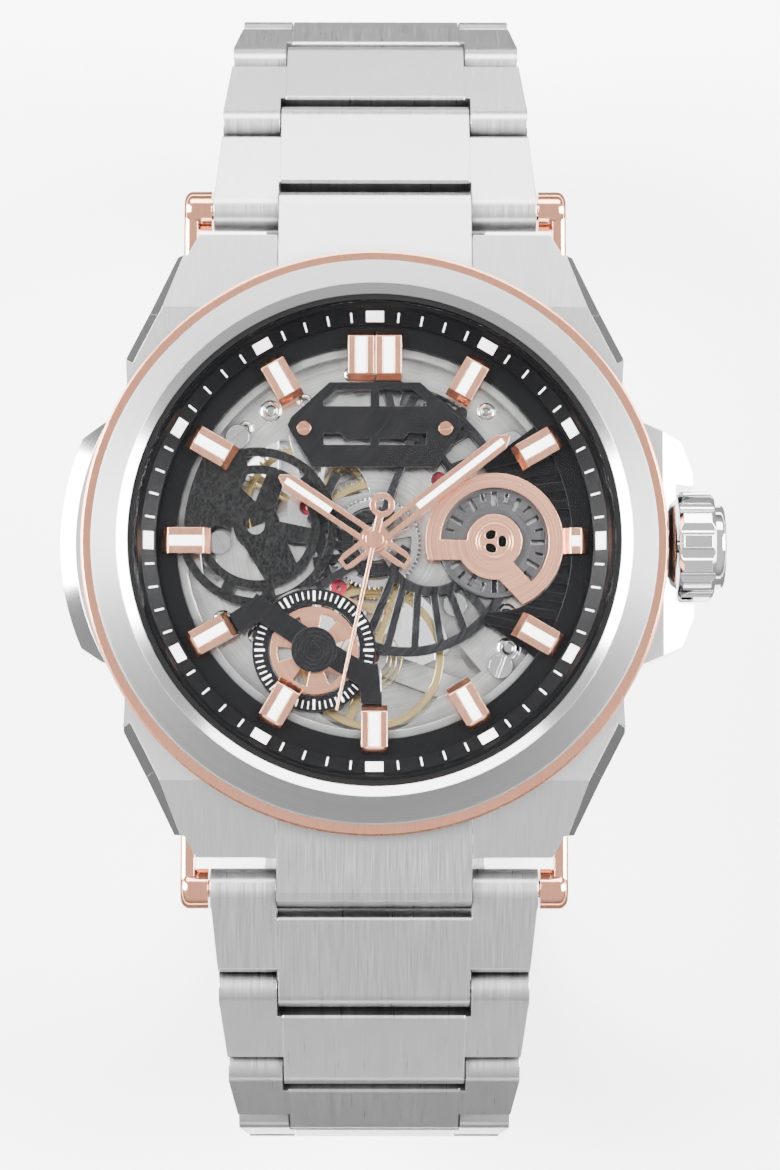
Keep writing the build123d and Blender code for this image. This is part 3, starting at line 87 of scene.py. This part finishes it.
# ---------------------------------------------------------------- finishes
class Finish:
    """One procedural material. Textures read the object's own coordinates in millimetres."""

    def __init__(self, name, metallic, colour):
        self.material = bpy.data.materials.new(name)
        self.material.use_nodes = True
        self.tree = self.material.node_tree
        self.tree.nodes.clear()
        self.shader = self.node("ShaderNodeBsdfPrincipled")
        self.shader.inputs["Metallic"].default_value = metallic
        output = self.node("ShaderNodeOutputMaterial")
        self.join(self.shader.outputs["BSDF"], output.inputs["Surface"])
        self.coordinates = self.node("ShaderNodeTexCoord")
        self.place = self.vector("SCALE", self.coordinates.outputs["Object"], scale=1 / MM)
        self.colour = self.rgb(colour)
        self.material.diffuse_color = (*colour, 1.0)

    def node(self, kind):
        return self.tree.nodes.new(kind)

    def join(self, output, socket):
        self.tree.links.new(output, socket)

    def feed(self, value, socket):
        """A number, a tuple or another node's output goes into a socket."""
        if isinstance(value, bpy.types.NodeSocket):
            self.join(value, socket)
        else:
            socket.default_value = value

    def vector(self, operation, first, second=None, scale=None):
        node = self.node("ShaderNodeVectorMath")
        node.operation = operation
        self.feed(first, node.inputs[0])
        if second is not None:
            self.feed(second, node.inputs[1])
        if scale is not None:
            node.inputs["Scale"].default_value = scale
        return node.outputs["Value" if operation in ("DOT_PRODUCT", "LENGTH") else "Vector"]

    def maths(self, operation, first, second=0.0):
        node = self.node("ShaderNodeMath")
        node.operation = operation
        self.feed(first, node.inputs[0])
        self.feed(second, node.inputs[1])
        return node.outputs["Value"]

    def rgb(self, colour):
        node = self.node("ShaderNodeRGB")
        node.outputs[0].default_value = (*colour, 1.0)
        return node.outputs[0]

    def noise(self, place, scale=1.0, detail=3.0):
        node = self.node("ShaderNodeTexNoise")
        node.inputs["Scale"].default_value = scale
        node.inputs["Detail"].default_value = detail
        self.join(place, node.inputs["Vector"])
        return node.outputs["Fac"]

    def cells(self, place, scale):
        node = self.node("ShaderNodeTexVoronoi")
        node.inputs["Scale"].default_value = scale
        self.join(place, node.inputs["Vector"])
        return node.outputs["Distance"]

    def span(self, value, low, high, to_low=0.0, to_high=1.0):
        """A value stretched from low..high to another range and held there."""
        node = self.node("ShaderNodeMapRange")
        self.feed(value, node.inputs["Value"])
        for name, number in (("From Min", low), ("From Max", high), ("To Min", to_low), ("To Max", to_high)):
            self.feed(number, node.inputs[name])
        return node.outputs["Result"]

    def blend(self, factor, first, second, mode="MIX"):
        node = self.node("ShaderNodeMix")
        node.data_type = "RGBA"
        node.blend_type = mode
        self.feed(factor, node.inputs[0])
        self.feed(first, node.inputs[6])
        self.feed(second, node.inputs[7])
        return node.outputs[2]

    def shade(self, factor, low, high):
        """The colour made darker or lighter, from low to high times, as the factor runs from 0 to 1."""
        grey = self.span(factor, 0.0, 1.0, low, high)
        join = self.node("ShaderNodeCombineColor")
        for channel in ("Red", "Green", "Blue"):
            self.join(grey, join.inputs[channel])
        self.colour = self.blend(1.0, self.colour, join.outputs["Color"], "MULTIPLY")

    def stretched(self, lines):
        return self.vector("MULTIPLY", self.place, lines)

    def rings(self, centre, across, along=0.35):
        """Coordinates that run across circles about a centre, so that noise makes turned lines."""
        local = self.vector("SUBTRACT", self.place, (*centre, 0.0))
        flat = self.vector("MULTIPLY", local, (1.0, 1.0, 0.0))
        radius = self.vector("LENGTH", flat)
        parts = self.node("ShaderNodeSeparateXYZ")
        self.join(local, parts.inputs["Vector"])
        made = self.node("ShaderNodeCombineXYZ")
        self.join(self.maths("MULTIPLY", radius, across), made.inputs["X"])
        self.join(self.maths("MULTIPLY", parts.outputs["X"], along), made.inputs["Y"])
        self.join(self.maths("MULTIPLY", parts.outputs["Y"], along), made.inputs["Z"])
        return made.outputs["Vector"]

    def rounded(self, radius):
        """Softly rounded edges, and a factor that is 1 along them."""
        bevel = self.node("ShaderNodeBevel")
        bevel.samples = 4
        bevel.inputs["Radius"].default_value = radius * MM
        flat = self.node("ShaderNodeNewGeometry")
        same = self.vector("DOT_PRODUCT", bevel.outputs["Normal"], flat.outputs["Normal"])
        self.normal = bevel.outputs["Normal"]
        self.edge = self.span(same, 1.0, 0.94)

    def painted_gap_shade(self, reach, dark, light=1.0):
        """The colour made darker in narrow gaps: painted shade where little light comes. A light above 1
        also paints the open places lighter.
        """
        near = self.node("ShaderNodeAmbientOcclusion")
        near.samples = 4
        near.inputs["Distance"].default_value = reach * MM
        self.shade(self.span(near.outputs["AO"], 0.25, 0.95), dark, light)

    def bump(self, height, strength, distance):
        node = self.node("ShaderNodeBump")
        node.inputs["Strength"].default_value = strength
        node.inputs["Distance"].default_value = distance * MM
        self.join(height, node.inputs["Height"])
        self.join(self.normal, node.inputs["Normal"])
        self.normal = node.outputs["Normal"]

    def done(self, roughness):
        self.feed(roughness, self.shader.inputs["Roughness"])
        self.join(self.colour, self.shader.inputs["Base Color"])
        self.join(self.normal, self.shader.inputs["Normal"])
        return self.material


def metal(name, colour, roughness, lines, depth=0.3, contrast=(0.86, 1.08), edge_highlight_gain=1.25, edge=0.06,
          painted_gap_shade=0.0):
    """Metal with brush lines. lines stretches the grain, or gives (centre, across) for turned lines."""
    made = Finish(name, 1.0, colour)
    made.rounded(edge)
    place = made.stretched(lines) if len(lines) == 3 else made.rings(*lines)
    grain = made.noise(place, 1.0, 5.0)
    cloud = made.noise(made.place, 0.22, 2.0)
    made.shade(made.span(grain, 0.3, 0.7), *contrast)
    made.shade(cloud, 0.95, 1.04)
    # painted shade: the colour is darker in narrow gaps
    if painted_gap_shade:
        made.painted_gap_shade(painted_gap_shade, 0.2)
    # painted highlight: rounded edges lighter in colour
    made.shade(made.edge, 1.0, edge_highlight_gain)
    made.bump(grain, depth, 0.02)
    rough = made.span(grain, 0.3, 0.7, 0.8 * roughness, 1.2 * roughness)
    worn = made.maths("MULTIPLY", made.edge, -0.4 * roughness)
    return made.done(made.maths("ADD", rough, worn))


def painted(name, colour, roughness, place, scale, depth, contrast, edge_highlight_gain=2.5, shine=0.07):
    """Dark coating over metal, with its own grain and edges painted lighter as a highlight."""
    made = Finish(name, 0.0, colour)
    made.rounded(0.05)
    grain = place(made, scale)
    made.shade(made.span(grain, 0.25, 0.75), *contrast)
    # painted highlight: rounded edges lighter in colour
    made.shade(made.edge, 1.0, edge_highlight_gain)
    made.bump(grain, depth, 0.03)
    made.shader.inputs["Specular IOR Level"].default_value = shine
    return made.done(made.span(grain, 0.2, 0.8, 0.85 * roughness, 1.15 * roughness))


def fine_grain(made, scale):
    return made.noise(made.place, scale, 4.0)


def leather_grain(made, scale):
    return made.cells(made.place, scale)


def slanted_grain(made, scale):
    turned = made.node("ShaderNodeVectorRotate")
    turned.rotation_type = "Z_AXIS"
    turned.inputs["Angle"].default_value = radians(38)
    made.join(made.place, turned.inputs["Vector"])
    return made.noise(made.vector("MULTIPLY", turned.outputs["Vector"], (scale, 0.4, 0.4)), 1.0, 4.0)


def case_steel():
    """Tops brushed from 12 to 6 o'clock; slopes and bevels polished."""
    made = Finish("case_brushed_and_polished", 1.0, (0.52, 0.52, 0.525))
    made.rounded(0.09)
    facing = made.node("ShaderNodeSeparateXYZ")
    made.join(made.coordinates.outputs["Normal"], facing.inputs["Vector"])
    flat = made.span(made.maths("ABSOLUTE", facing.outputs["Z"]), 0.93, 0.97)
    grain = made.noise(made.stretched((16.0, 0.5, 0.5)), 1.0, 5.0)
    fine = made.span(grain, 0.3, 0.7)
    cloud = made.noise(made.place, 0.2, 2.0)
    lines = made.maths("MULTIPLY", fine, flat)
    made.shade(lines, 0.88, 1.06)
    made.shade(cloud, 0.95, 1.04)
    # painted highlight: rounded edges lighter in colour
    made.shade(made.edge, 1.0, 1.25)
    made.bump(made.maths("MULTIPLY", grain, flat), 0.08, 0.02)
    return made.done(made.span(flat, 0.0, 1.0, 0.1, 0.3))


def bezel_steel():
    """Turned lines round the sloping face; the inner chamfer is polished."""
    made = Finish("bezel_turned_steel", 1.0, (0.5, 0.5, 0.505))
    made.rounded(0.08)
    radius = made.vector("LENGTH", made.vector("MULTIPLY", made.place, (1.0, 1.0, 0.0)))
    sloping = made.maths("MULTIPLY", made.span(radius, 17.35, 17.45), made.span(radius, 19.3, 19.2))
    grain = made.noise(made.rings((0.0, 0.0), 14.0, 0.06), 1.0, 5.0)
    broad = made.noise(made.rings((0.0, 0.0), 3.0, 0.04), 1.0, 2.0)
    made.shade(made.maths("MULTIPLY", made.span(grain, 0.3, 0.7), sloping), 0.94, 1.05)
    made.shade(broad, 0.96, 1.04)
    # painted highlight: rounded edges lighter in colour
    made.shade(made.edge, 1.0, 1.2)
    made.bump(made.maths("MULTIPLY", grain, sloping), 0.08, 0.02)
    made.shader.inputs["Anisotropic"].default_value = 0.7
    tangent = made.node("ShaderNodeTangent")
    tangent.direction_type = "RADIAL"
    tangent.axis = "Z"
    made.join(tangent.outputs["Tangent"], made.shader.inputs["Tangent"])
    return made.done(made.span(sloping, 0.0, 1.0, 0.1, 0.3))


def works_steel():
    """Plated plates: overlapping circular graining, each spot painted lighter in its middle as a painted
    sheen.
    """
    made = Finish("plated_works", 1.0, (0.72, 0.72, 0.71))
    made.rounded(0.05)
    spots = made.cells(made.place, 0.9)
    swirls = made.noise(made.rings((0.0, 0.0), 14.0, 0.15), 1.0, 4.0)
    made.shade(made.span(swirls, 0.3, 0.7), 0.85, 1.1)
    # painted sheen: spot middles lighter, spot edges darker
    made.shade(made.span(spots, 0.0, 0.8), 1.05, 0.85)
    # painted shade in the gaps and painted light on the open plate
    made.painted_gap_shade(1.1, 0.18, 1.3)
    # painted highlight: rounded edges lighter in colour
    made.shade(made.edge, 1.0, 1.6)
    hollows = made.maths("MULTIPLY", spots, 3.0)
    made.bump(made.maths("ADD", hollows, made.maths("MULTIPLY", swirls, 0.3)), 0.3, 0.03)
    return made.done(made.span(swirls, 0.2, 0.8, 0.14, 0.24))


def mixed_screws():
    """Steel screws, with the two of the name plate in rose gold."""
    made = Finish("movement_screw_metal", 1.0, (0.7, 0.7, 0.71))
    made.rounded(0.04)
    aside = made.vector("ABSOLUTE", made.place)
    offset = made.vector("SUBTRACT", aside, (*NAME_SCREW, 0.0))
    reach = made.vector("LENGTH", made.vector("MULTIPLY", offset, (1.0, 1.0, 0.0)))
    above = made.node("ShaderNodeSeparateXYZ")
    made.join(made.place, above.inputs["Vector"])
    near = made.maths("MULTIPLY", made.span(reach, 1.1, 1.0), made.span(above.outputs["Y"], 0.0, 0.1))
    made.colour = made.blend(near, made.colour, (*ROSE, 1.0))
    grain = made.noise(made.stretched((12.0, 2.0, 2.0)), 1.0, 4.0)
    made.shade(made.span(grain, 0.3, 0.7), 0.92, 1.04)
    # painted highlight: rounded edges lighter in colour
    made.shade(made.edge, 1.0, 1.2)
    made.bump(grain, 0.06, 0.02)
    return made.done(made.span(grain, 0.3, 0.7, 0.12, 0.2))


def day_cover_rose():
    """Turned rose gold, with dark floors in the three oval pockets."""
    made = Finish("rose_gold_turned", 1.0, ROSE_PALE)
    made.rounded(0.06)
    grain = made.noise(made.rings(DAY_CENTRE, 18.0, 0.1), 1.0, 5.0)
    made.shade(made.span(grain, 0.3, 0.7), 0.88, 1.04)
    # painted highlight: rounded edges lighter in colour
    made.shade(made.edge, 1.0, 1.15)
    parts = made.node("ShaderNodeSeparateXYZ")
    made.join(made.place, parts.inputs["Vector"])
    offset = made.vector("SUBTRACT", made.place, (*DAY_CENTRE, 0.0))
    reach = made.vector("LENGTH", made.vector("MULTIPLY", offset, (1.0, 1.0, 0.0)))
    pocket = made.maths("MULTIPLY", made.span(reach, 1.03, 1.0), made.span(parts.outputs["Z"], 8.1, 8.05))
    made.colour = made.blend(pocket, made.colour, (0.01, 0.01, 0.01, 1.0))
    made.bump(grain, 0.06, 0.02)
    return made.done(made.span(grain, 0.3, 0.7, 0.2, 0.3))


def clear_glass():
    """Coated mineral glass: mostly clear, with faint reflections and a trace of dust."""
    made = Finish("coated_glass", 0.0, (0.01, 0.011, 0.013))
    made.rounded(0.08)
    smear = made.noise(made.place, 0.15, 3.0)
    dust = made.noise(made.place, 9.0, 2.0)
    made.shade(smear, 0.96, 1.0)
    rim = made.span(made.edge, 0.0, 1.0, 0.0, 0.2)
    faint = made.span(smear, 0.3, 0.7, 0.03, 0.06)
    specks = made.span(dust, 0.76, 0.82, 0.0, 0.03)
    alpha = made.maths("ADD", made.maths("ADD", faint, rim), specks)
    made.join(alpha, made.shader.inputs["Alpha"])
    made.shader.inputs["IOR"].default_value = 1.5
    return made.done(made.span(smear, 0.3, 0.7, 0.03, 0.06))


def ruby_stone():
    made = Finish("ruby_stone", 0.0, (0.5, 0.015, 0.06))
    made.rounded(0.04)
    cloud = made.noise(made.place, 3.0, 3.0)
    made.shade(cloud, 0.7, 1.3)
    # painted highlight: rounded edges lighter in colour
    made.shade(made.edge, 1.0, 1.6)
    made.shader.inputs["Coat Weight"].default_value = 0.8
    made.shader.inputs["Transmission Weight"].default_value = 0.25
    return made.done(made.span(cloud, 0.2, 0.8, 0.05, 0.12))


def white_paint(name, colour, roughness, painted_glow=0.0):
    """Matt white filling with a slightly uneven surface; painted_glow makes it give off light in its own
    colour, a painted glow.
    """
    made = Finish(name, 0.0, colour)
    made.rounded(0.03)
    grain = made.noise(made.place, 14.0, 3.0)
    made.shade(grain, 0.95, 1.04)
    # painted shade: rounded edges a little darker in colour
    made.shade(made.edge, 1.0, 0.93)
    made.bump(grain, 0.15, 0.01)
    # painted glow: the filling emits light though it is no lamp
    if painted_glow:
        made.join(made.colour, made.shader.inputs["Emission Color"])
        made.shader.inputs["Emission Strength"].default_value = painted_glow
    return made.done(made.span(grain, 0.2, 0.8, 0.9 * roughness, 1.1 * roughness))


finishes = {
    "brushed_case": case_steel(),
    "brushed_bezel": bezel_steel(),
    # the bracelet gets painted shade in the gaps between its links
    "brushed_bracelet": metal("bracelet_brushed", (0.53, 0.53, 0.535), 0.34, (12.0, 0.3, 0.3), depth=0.02,
                              contrast=(0.93, 1.04), edge=0.12, painted_gap_shade=1.2),
    "polished_steel": metal("polished_steel", (0.78, 0.78, 0.79), 0.07, (6.0, 6.0, 0.6), depth=0.04,
                            contrast=(0.97, 1.02)),
    "rose_gold": metal("rose_gold_polished", ROSE, 0.12, (9.0, 0.7, 0.7), depth=0.06, contrast=(0.95, 1.04),
                       edge_highlight_gain=1.15),
    "crystal_glass": clear_glass(),
    "black_rubber": painted("seal_rubber", (0.003, 0.003, 0.003), 0.5, fine_grain, 8.0, 0.2,
                            (0.8, 1.2), 1.3),
    "steel_screws": metal("screw_steel", (0.72, 0.72, 0.73), 0.16, ((0.0, 0.0), 7.0), depth=0.1),
    "steel_works": works_steel(),
    "black_dial": painted("dial_black", (0.0012, 0.0012, 0.0013), 0.42, fine_grain, 6.0, 0.12,
                          (0.8, 1.2), 3.0),
    "black_brushed": painted("bridge_black_brushed", (0.004, 0.004, 0.0043), 0.36, slanted_grain, 14.0, 0.3,
                             (0.4, 1.8), 6.0),
    "black_grained": painted("bridge_black_grained", (0.0022, 0.0022, 0.0022), 0.4, leather_grain, 4.5, 1.0,
                             (0.2, 2.4), 9.0, 0.1),
    "grey_brushed": metal("lattice_grey_brushed", (0.03, 0.03, 0.032), 0.34, ((-2.0, -2.0), 9.0), depth=0.1,
                          contrast=(0.6, 1.4), edge_highlight_gain=3.2, edge=0.08),
    "brass_works": metal("gilt_works", (0.86, 0.66, 0.33), 0.24, ((0.0, 0.0), 8.0), depth=0.15),
    "ruby": ruby_stone(),
}

turned_rose = day_cover_rose()
wheel_rose = metal("rose_gold_wheel", ROSE_PALE, 0.22, (COUNTER_CENTRE, 16.0), depth=0.05,
                   contrast=(0.88, 1.06))
marker_rose = metal("rose_gold_marker", ROSE_PALE, 0.2, (8.0, 1.0, 1.0), depth=0.1, contrast=(0.94, 1.03),
                    edge=0.08)
balance_brass = metal("gilt_balance", (0.9, 0.7, 0.34), 0.2, (BALANCE_CENTRE, 9.0), depth=0.15)
barrel_steel = metal("barrel_turned", (0.68, 0.68, 0.67), 0.2, (BARREL_CENTRE, 7.0), depth=0.25)
disc_grey = metal("hour_disc_grey", (0.1, 0.1, 0.105), 0.33, (DAY_CENTRE, 10.0), depth=0.1,
                   contrast=(0.85, 1.1))
centre_steel = metal("centre_turned", (0.7, 0.7, 0.7), 0.2, ((0.0, 0.0), 9.0), depth=0.2)
ribbed_black = painted("dial_black_ribbed", (0.0014, 0.0014, 0.0015), 0.4, fine_grain, 6.0, 0.12,
                       (0.8, 1.2), 16.0)
own_finish = {
    "dial_ring": ribbed_black,
    "day_cover": turned_rose,
    "running_wheel": wheel_rose,
    "hour_markers": marker_rose,
    "hour_hand": marker_rose,
    "minute_hand": marker_rose,
    "seconds_hand": marker_rose,
    "balance_wheel": balance_brass,
    "mainspring_barrel": barrel_steel,
    "day_disc": disc_grey,
    "hour_wheel": centre_steel,
    "movement_screws": mixed_screws(),
}

for name, part in nodes.items():
    for place in part.material_slots:
        place.material = own_finish.get(name) or finishes[place.material.name.split(".")[0]]

# ---------------------------------------------------------------- white inlays and printed marks
# the inlays get a painted glow
inlay_white = white_paint("inlay_white", (0.9, 0.9, 0.88), 0.4, 0.25)
print_white = white_paint("print_white", (0.82, 0.82, 0.82), 0.5)


def only(obj):
    bpy.ops.object.select_all(action="DESELECT")
    obj.select_set(True)
    bpy.context.view_layer.objects.active = obj


def settle():
    bpy.ops.object.transform_apply(location=True, rotation=True, scale=True)


def block(name, low, high, rounding, dome=0.0):
    """A pad between two corners in millimetres, with rounded edges and, given a dome, a raised top."""
    middle = [(a + b) / 2 * MM for a, b in zip(low, high)]
    size = [(b - a) * MM for a, b in zip(low, high)]
    bpy.ops.mesh.primitive_cube_add(size=1.0, location=middle)
    pad = bpy.context.object
    pad.name = name
    pad.scale = size
    only(pad)
    settle()
    bpy.ops.object.mode_set(mode="EDIT")
    bpy.ops.mesh.select_all(action="SELECT")
    bpy.ops.mesh.bevel(offset=rounding * MM, segments=2, affect="EDGES")
    bpy.ops.mesh.select_all(action="DESELECT")
    bpy.ops.object.mode_set(mode="OBJECT")
    if dome:
        raise_top(pad, high[2] * MM, dome * MM)
    return pad


def raise_top(pad, height, dome):
    """Insets the top face and lifts it, which gives the filling its crown."""
    for face in pad.data.polygons:
        face.select = abs(face.center.z - height) < 1e-7 and face.normal.z > 0.99
    bpy.ops.object.mode_set(mode="EDIT")
    bpy.ops.mesh.select_mode(type="FACE")
    bpy.ops.mesh.inset(thickness=4 * dome, depth=dome)
    bpy.ops.object.mode_set(mode="OBJECT")


def turned_copy(pad, clock, pivot=(0.0, 0.0)):
    """A copy with its own mesh, turned clockwise about a pivot."""
    only(pad)
    bpy.ops.object.duplicate()
    copy = bpy.context.object
    bpy.ops.transform.rotate(value=radians(clock), orient_axis="Z",
                             center_override=(pivot[0] * MM, pivot[1] * MM, 0.0))
    settle()
    return copy


def gather(pads, name, material, body):
    """Joins the copies into one piece that rides on a body."""
    bpy.ops.object.select_all(action="DESELECT")
    for pad in pads:
        pad.select_set(True)
    bpy.context.view_layer.objects.active = pads[0]
    bpy.ops.object.join()
    piece = bpy.context.object
    piece.name = name
    bpy.context.scene.cursor.location = (0.0, 0.0, 0.0)
    bpy.ops.object.origin_set(type="ORIGIN_CURSOR")
    bpy.ops.object.shade_smooth_by_angle(angle=radians(35))
    piece.data.materials.clear()
    piece.data.materials.append(material)
    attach(piece, body)
    return piece


def drop(pad):
    bpy.data.objects.remove(pad, do_unlink=True)


def marker_fill(name, in_r, shift=0.0):
    """The filling of one marker's groove, drawn at 12 o'clock."""
    gap = 0.02
    half = GROOVE_W / 2 - gap
    low = (shift - half, in_r + MARKER_BEVEL + gap, MARKER_TOP - GROOVE_DEPTH)
    high = (shift + half, MARKER_OUT_R - MARKER_BEVEL - gap, MARKER_TOP - 0.05)
    return block(name, low, high, 0.03, 0.03)


standard = marker_fill("fill", MARKER_IN_R)
fills = [turned_copy(standard, 30 * hour) for hour in range(1, 12) if hour != 3]
drop(standard)
short = marker_fill("fill_three", THREE_IN_R)
fills.append(turned_copy(short, 90))
drop(short)
fills += [marker_fill("fill_twelve", MARKER_IN_R - 0.15, way * TWELVE_SHIFT) for way in (-1, 1)]
gather(fills, "marker_inlays", inlay_white, "case")

TRACK_SLOPE = atan2(TRACK_OUT_Z - TRACK_IN_Z, TRACK_OUT_R - TRACK_IN_R)


def track_mark(name, width, in_r, out_r, thick):
    """A mark printed on the sloping minute track, at 12 o'clock."""
    middle = (in_r + out_r) / 2
    length = (out_r - in_r) / cos(TRACK_SLOPE)
    height = TRACK_IN_Z + (middle - TRACK_IN_R) * (TRACK_OUT_Z - TRACK_IN_Z) / (TRACK_OUT_R - TRACK_IN_R)
    low = (-width / 2, middle - length / 2, height - thick)
    high = (width / 2, middle + length / 2, height + thick)
    mark = block(name, low, high, 0.25 * thick)
    only(mark)
    bpy.ops.transform.rotate(value=-TRACK_SLOPE, orient_axis="X",
                             center_override=(0.0, middle * MM, height * MM))
    settle()
    return mark


hour_block = track_mark("hour_block", 1.22, 15.0, 15.68, 0.025)
hour_blocks = [turned_copy(hour_block, 30 * hour) for hour in range(12)]
drop(hour_block)
gather(hour_blocks, "minute_track_blocks", print_white, "case")

minute_tick = track_mark("minute_tick", 0.13, 15.02, 15.62, 0.02)
minute_ticks = [turned_copy(minute_tick, 6 * minute) for minute in range(60) if minute % 5]
drop(minute_tick)
gather(minute_ticks, "minute_track_ticks", print_white, "case")


def counter_mark(name, width, in_r, out_r):
    x, y = COUNTER_CENTRE
    low = (x - width / 2, y + in_r, COUNTER_TOP - 0.01)
    high = (x + width / 2, y + out_r, COUNTER_TOP + 0.02)
    return block(name, low, high, 0.006)


thin = counter_mark("counter_thin", 0.09, 3.5, 4.02)
thick = counter_mark("counter_thick", 0.17, 3.35, 4.05)
counter_marks = [turned_copy(thick if i % 5 == 0 else thin, 6 * i, COUNTER_CENTRE) for i in range(60)]
drop(thin)
drop(thick)
gather(counter_marks, "counter_track_ticks", print_white, "case")


def hand_fill(name, start, end, low, clock, body):
    """The white part of a hand's slot."""
    half = HAND_SLOT / 2
    pad = block(name + "_pad", (-half, start, low + 0.03), (half, end, low + HAND_T - 0.02), 0.02, 0.012)
    copy = turned_copy(pad, clock)
    drop(pad)
    return gather([copy], name, inlay_white, body)


hand_fill("hour_hand_inlay", 3.6, 7.3, HOUR_HAND_Z, HOUR_ANGLE, "hour_pipe")
hand_fill("minute_hand_inlay", 3.7, 11.05, MINUTE_HAND_Z, MINUTE_ANGLE, "centre_arbor")

PLATE_TOP = 6.5
STUD_HOLES = [
    (322, 11.6, 0.75), (334, 10.9, 0.5), (312, 11.9, 0.5), (243, 11.6, 0.7), (232, 10.2, 0.6),
    (128, 11.6, 0.8), (118, 10.2, 0.7), (352, 11.8, 0.5), (40, 11.9, 0.6), (150, 12.2, 0.4),
]


def stud(name, clock, radius, size):
    """A polished bush in one of the main plate's counterbores, with a countersunk oil cup."""
    low, high = PLATE_TOP - 0.4, PLATE_TOP - 0.06
    x, y = radius * sin(radians(clock)), radius * cos(radians(clock))
    bpy.ops.mesh.primitive_cylinder_add(vertices=40, radius=(size - 0.03) * MM, depth=(high - low) * MM,
                                        location=(x * MM, y * MM, (low + high) / 2 * MM))
    bush = bpy.context.object
    bush.name = name
    only(bush)
    settle()
    for face in bush.data.polygons:
        face.select = face.normal.z > 0.99
    bpy.ops.object.mode_set(mode="EDIT")
    bpy.ops.mesh.select_mode(type="FACE")
    bpy.ops.mesh.inset(thickness=0.06 * MM, depth=0.04 * MM)
    bpy.ops.mesh.inset(thickness=0.3 * size * MM, depth=0.0)
    bpy.ops.mesh.inset(thickness=0.22 * size * MM, depth=-0.16 * MM)
    bpy.ops.object.mode_set(mode="OBJECT")
    return bush


studs = [stud(f"stud_{i}", *hole) for i, hole in enumerate(STUD_HOLES)]
# the studs get painted shade in their gaps
stud_steel = metal("stud_polished", (0.75, 0.75, 0.75), 0.12, (5.0, 5.0, 1.0), depth=0.05,
                   contrast=(0.95, 1.03), painted_gap_shade=0.5)
gather(studs, "plate_studs", stud_steel, "case")

# ---------------------------------------------------------------- studio
FLOOR_Z = cad_box[0][2] - 0.0001
bpy.ops.mesh.primitive_plane_add(size=6.0, location=(0.0, 0.0, FLOOR_Z))
floor = bpy.context.object
floor.name = "studio_floor"
floor_finish = Finish("pale_floor", 0.0, (0.93, 0.93, 0.93))
floor_finish.rounded(0.01)
floor_finish.shade(floor_finish.noise(floor_finish.place, 0.01, 2.0), 0.99, 1.01)
floor.data.materials.append(floor_finish.done(0.7))


def softbox(name, place, size, power, aim=(0.0, 0.0, 0.0)):
    bpy.ops.object.light_add(type="AREA", location=place)
    lamp = bpy.context.object
    lamp.name = name
    lamp.data.shape = "RECTANGLE"
    lamp.data.size, lamp.data.size_y = size
    lamp.data.energy = power
    lamp.rotation_euler = (Vector(aim) - Vector(place)).to_track_quat("-Z", "Y").to_euler()
    return lamp


def flag(name, x0, x1, y0, y1):
    """A dark card just above the floor, seen only in reflections."""
    bpy.ops.mesh.primitive_plane_add(size=1.0, location=((x0 + x1) / 2, (y0 + y1) / 2, FLOOR_Z + 0.0005))
    card = bpy.context.object
    card.name = name
    card.scale = (x1 - x0, y1 - y0, 1.0)
    only(card)
    settle()
    card.data.materials.append(card_grey)
    card.visible_camera = False
    card.visible_diffuse = False
    card.visible_shadow = False


FLAG_REACH, FLAG_SIDE = 0.25, 0.037      # outer and inner edges of the cards
card_grey = painted("card_grey", (0.05, 0.05, 0.05), 0.8, fine_grain, 0.5, 0.05, (0.9, 1.1))
flag("flag_left", -FLAG_REACH, -FLAG_SIDE, -FLAG_REACH, FLAG_REACH)
flag("flag_right", FLAG_SIDE, FLAG_REACH, -FLAG_REACH, FLAG_REACH)
flag("flag_top", -FLAG_SIDE, FLAG_SIDE, 0.056, FLAG_REACH)
flag("flag_bottom", -FLAG_SIDE, FLAG_SIDE, -FLAG_REACH, -0.054)

softbox("softbox_left", (-0.75, 0.15, 0.55), (0.5, 1.0), 75.0)
softbox("softbox_right", (0.75, 0.1, 0.55), (0.5, 1.0), 60.0)
softbox("softbox_back", (0.0, 0.8, 0.6), (1.0, 0.4), 16.0)

# the sky's strength against the height of the direction looked in: dim at the horizon, bright above
SKY = {"From Min": 0.06, "From Max": 0.5, "To Min": 0.3, "To Max": 1.25}

world = bpy.data.worlds.new("studio_world")
world.use_nodes = True
bpy.context.scene.world = world
air = world.node_tree
air.nodes.clear()
direction = air.nodes.new("ShaderNodeTexCoord")
parts = air.nodes.new("ShaderNodeSeparateXYZ")
rise = air.nodes.new("ShaderNodeMapRange")
for name, number in SKY.items():
    rise.inputs[name].default_value = number
sky = air.nodes.new("ShaderNodeBackground")
out = air.nodes.new("ShaderNodeOutputWorld")
air.links.new(direction.outputs["Generated"], parts.inputs["Vector"])
air.links.new(parts.outputs["Z"], rise.inputs["Value"])
air.links.new(rise.outputs["Result"], sky.inputs["Strength"])
air.links.new(sky.outputs["Background"], out.inputs["Surface"])
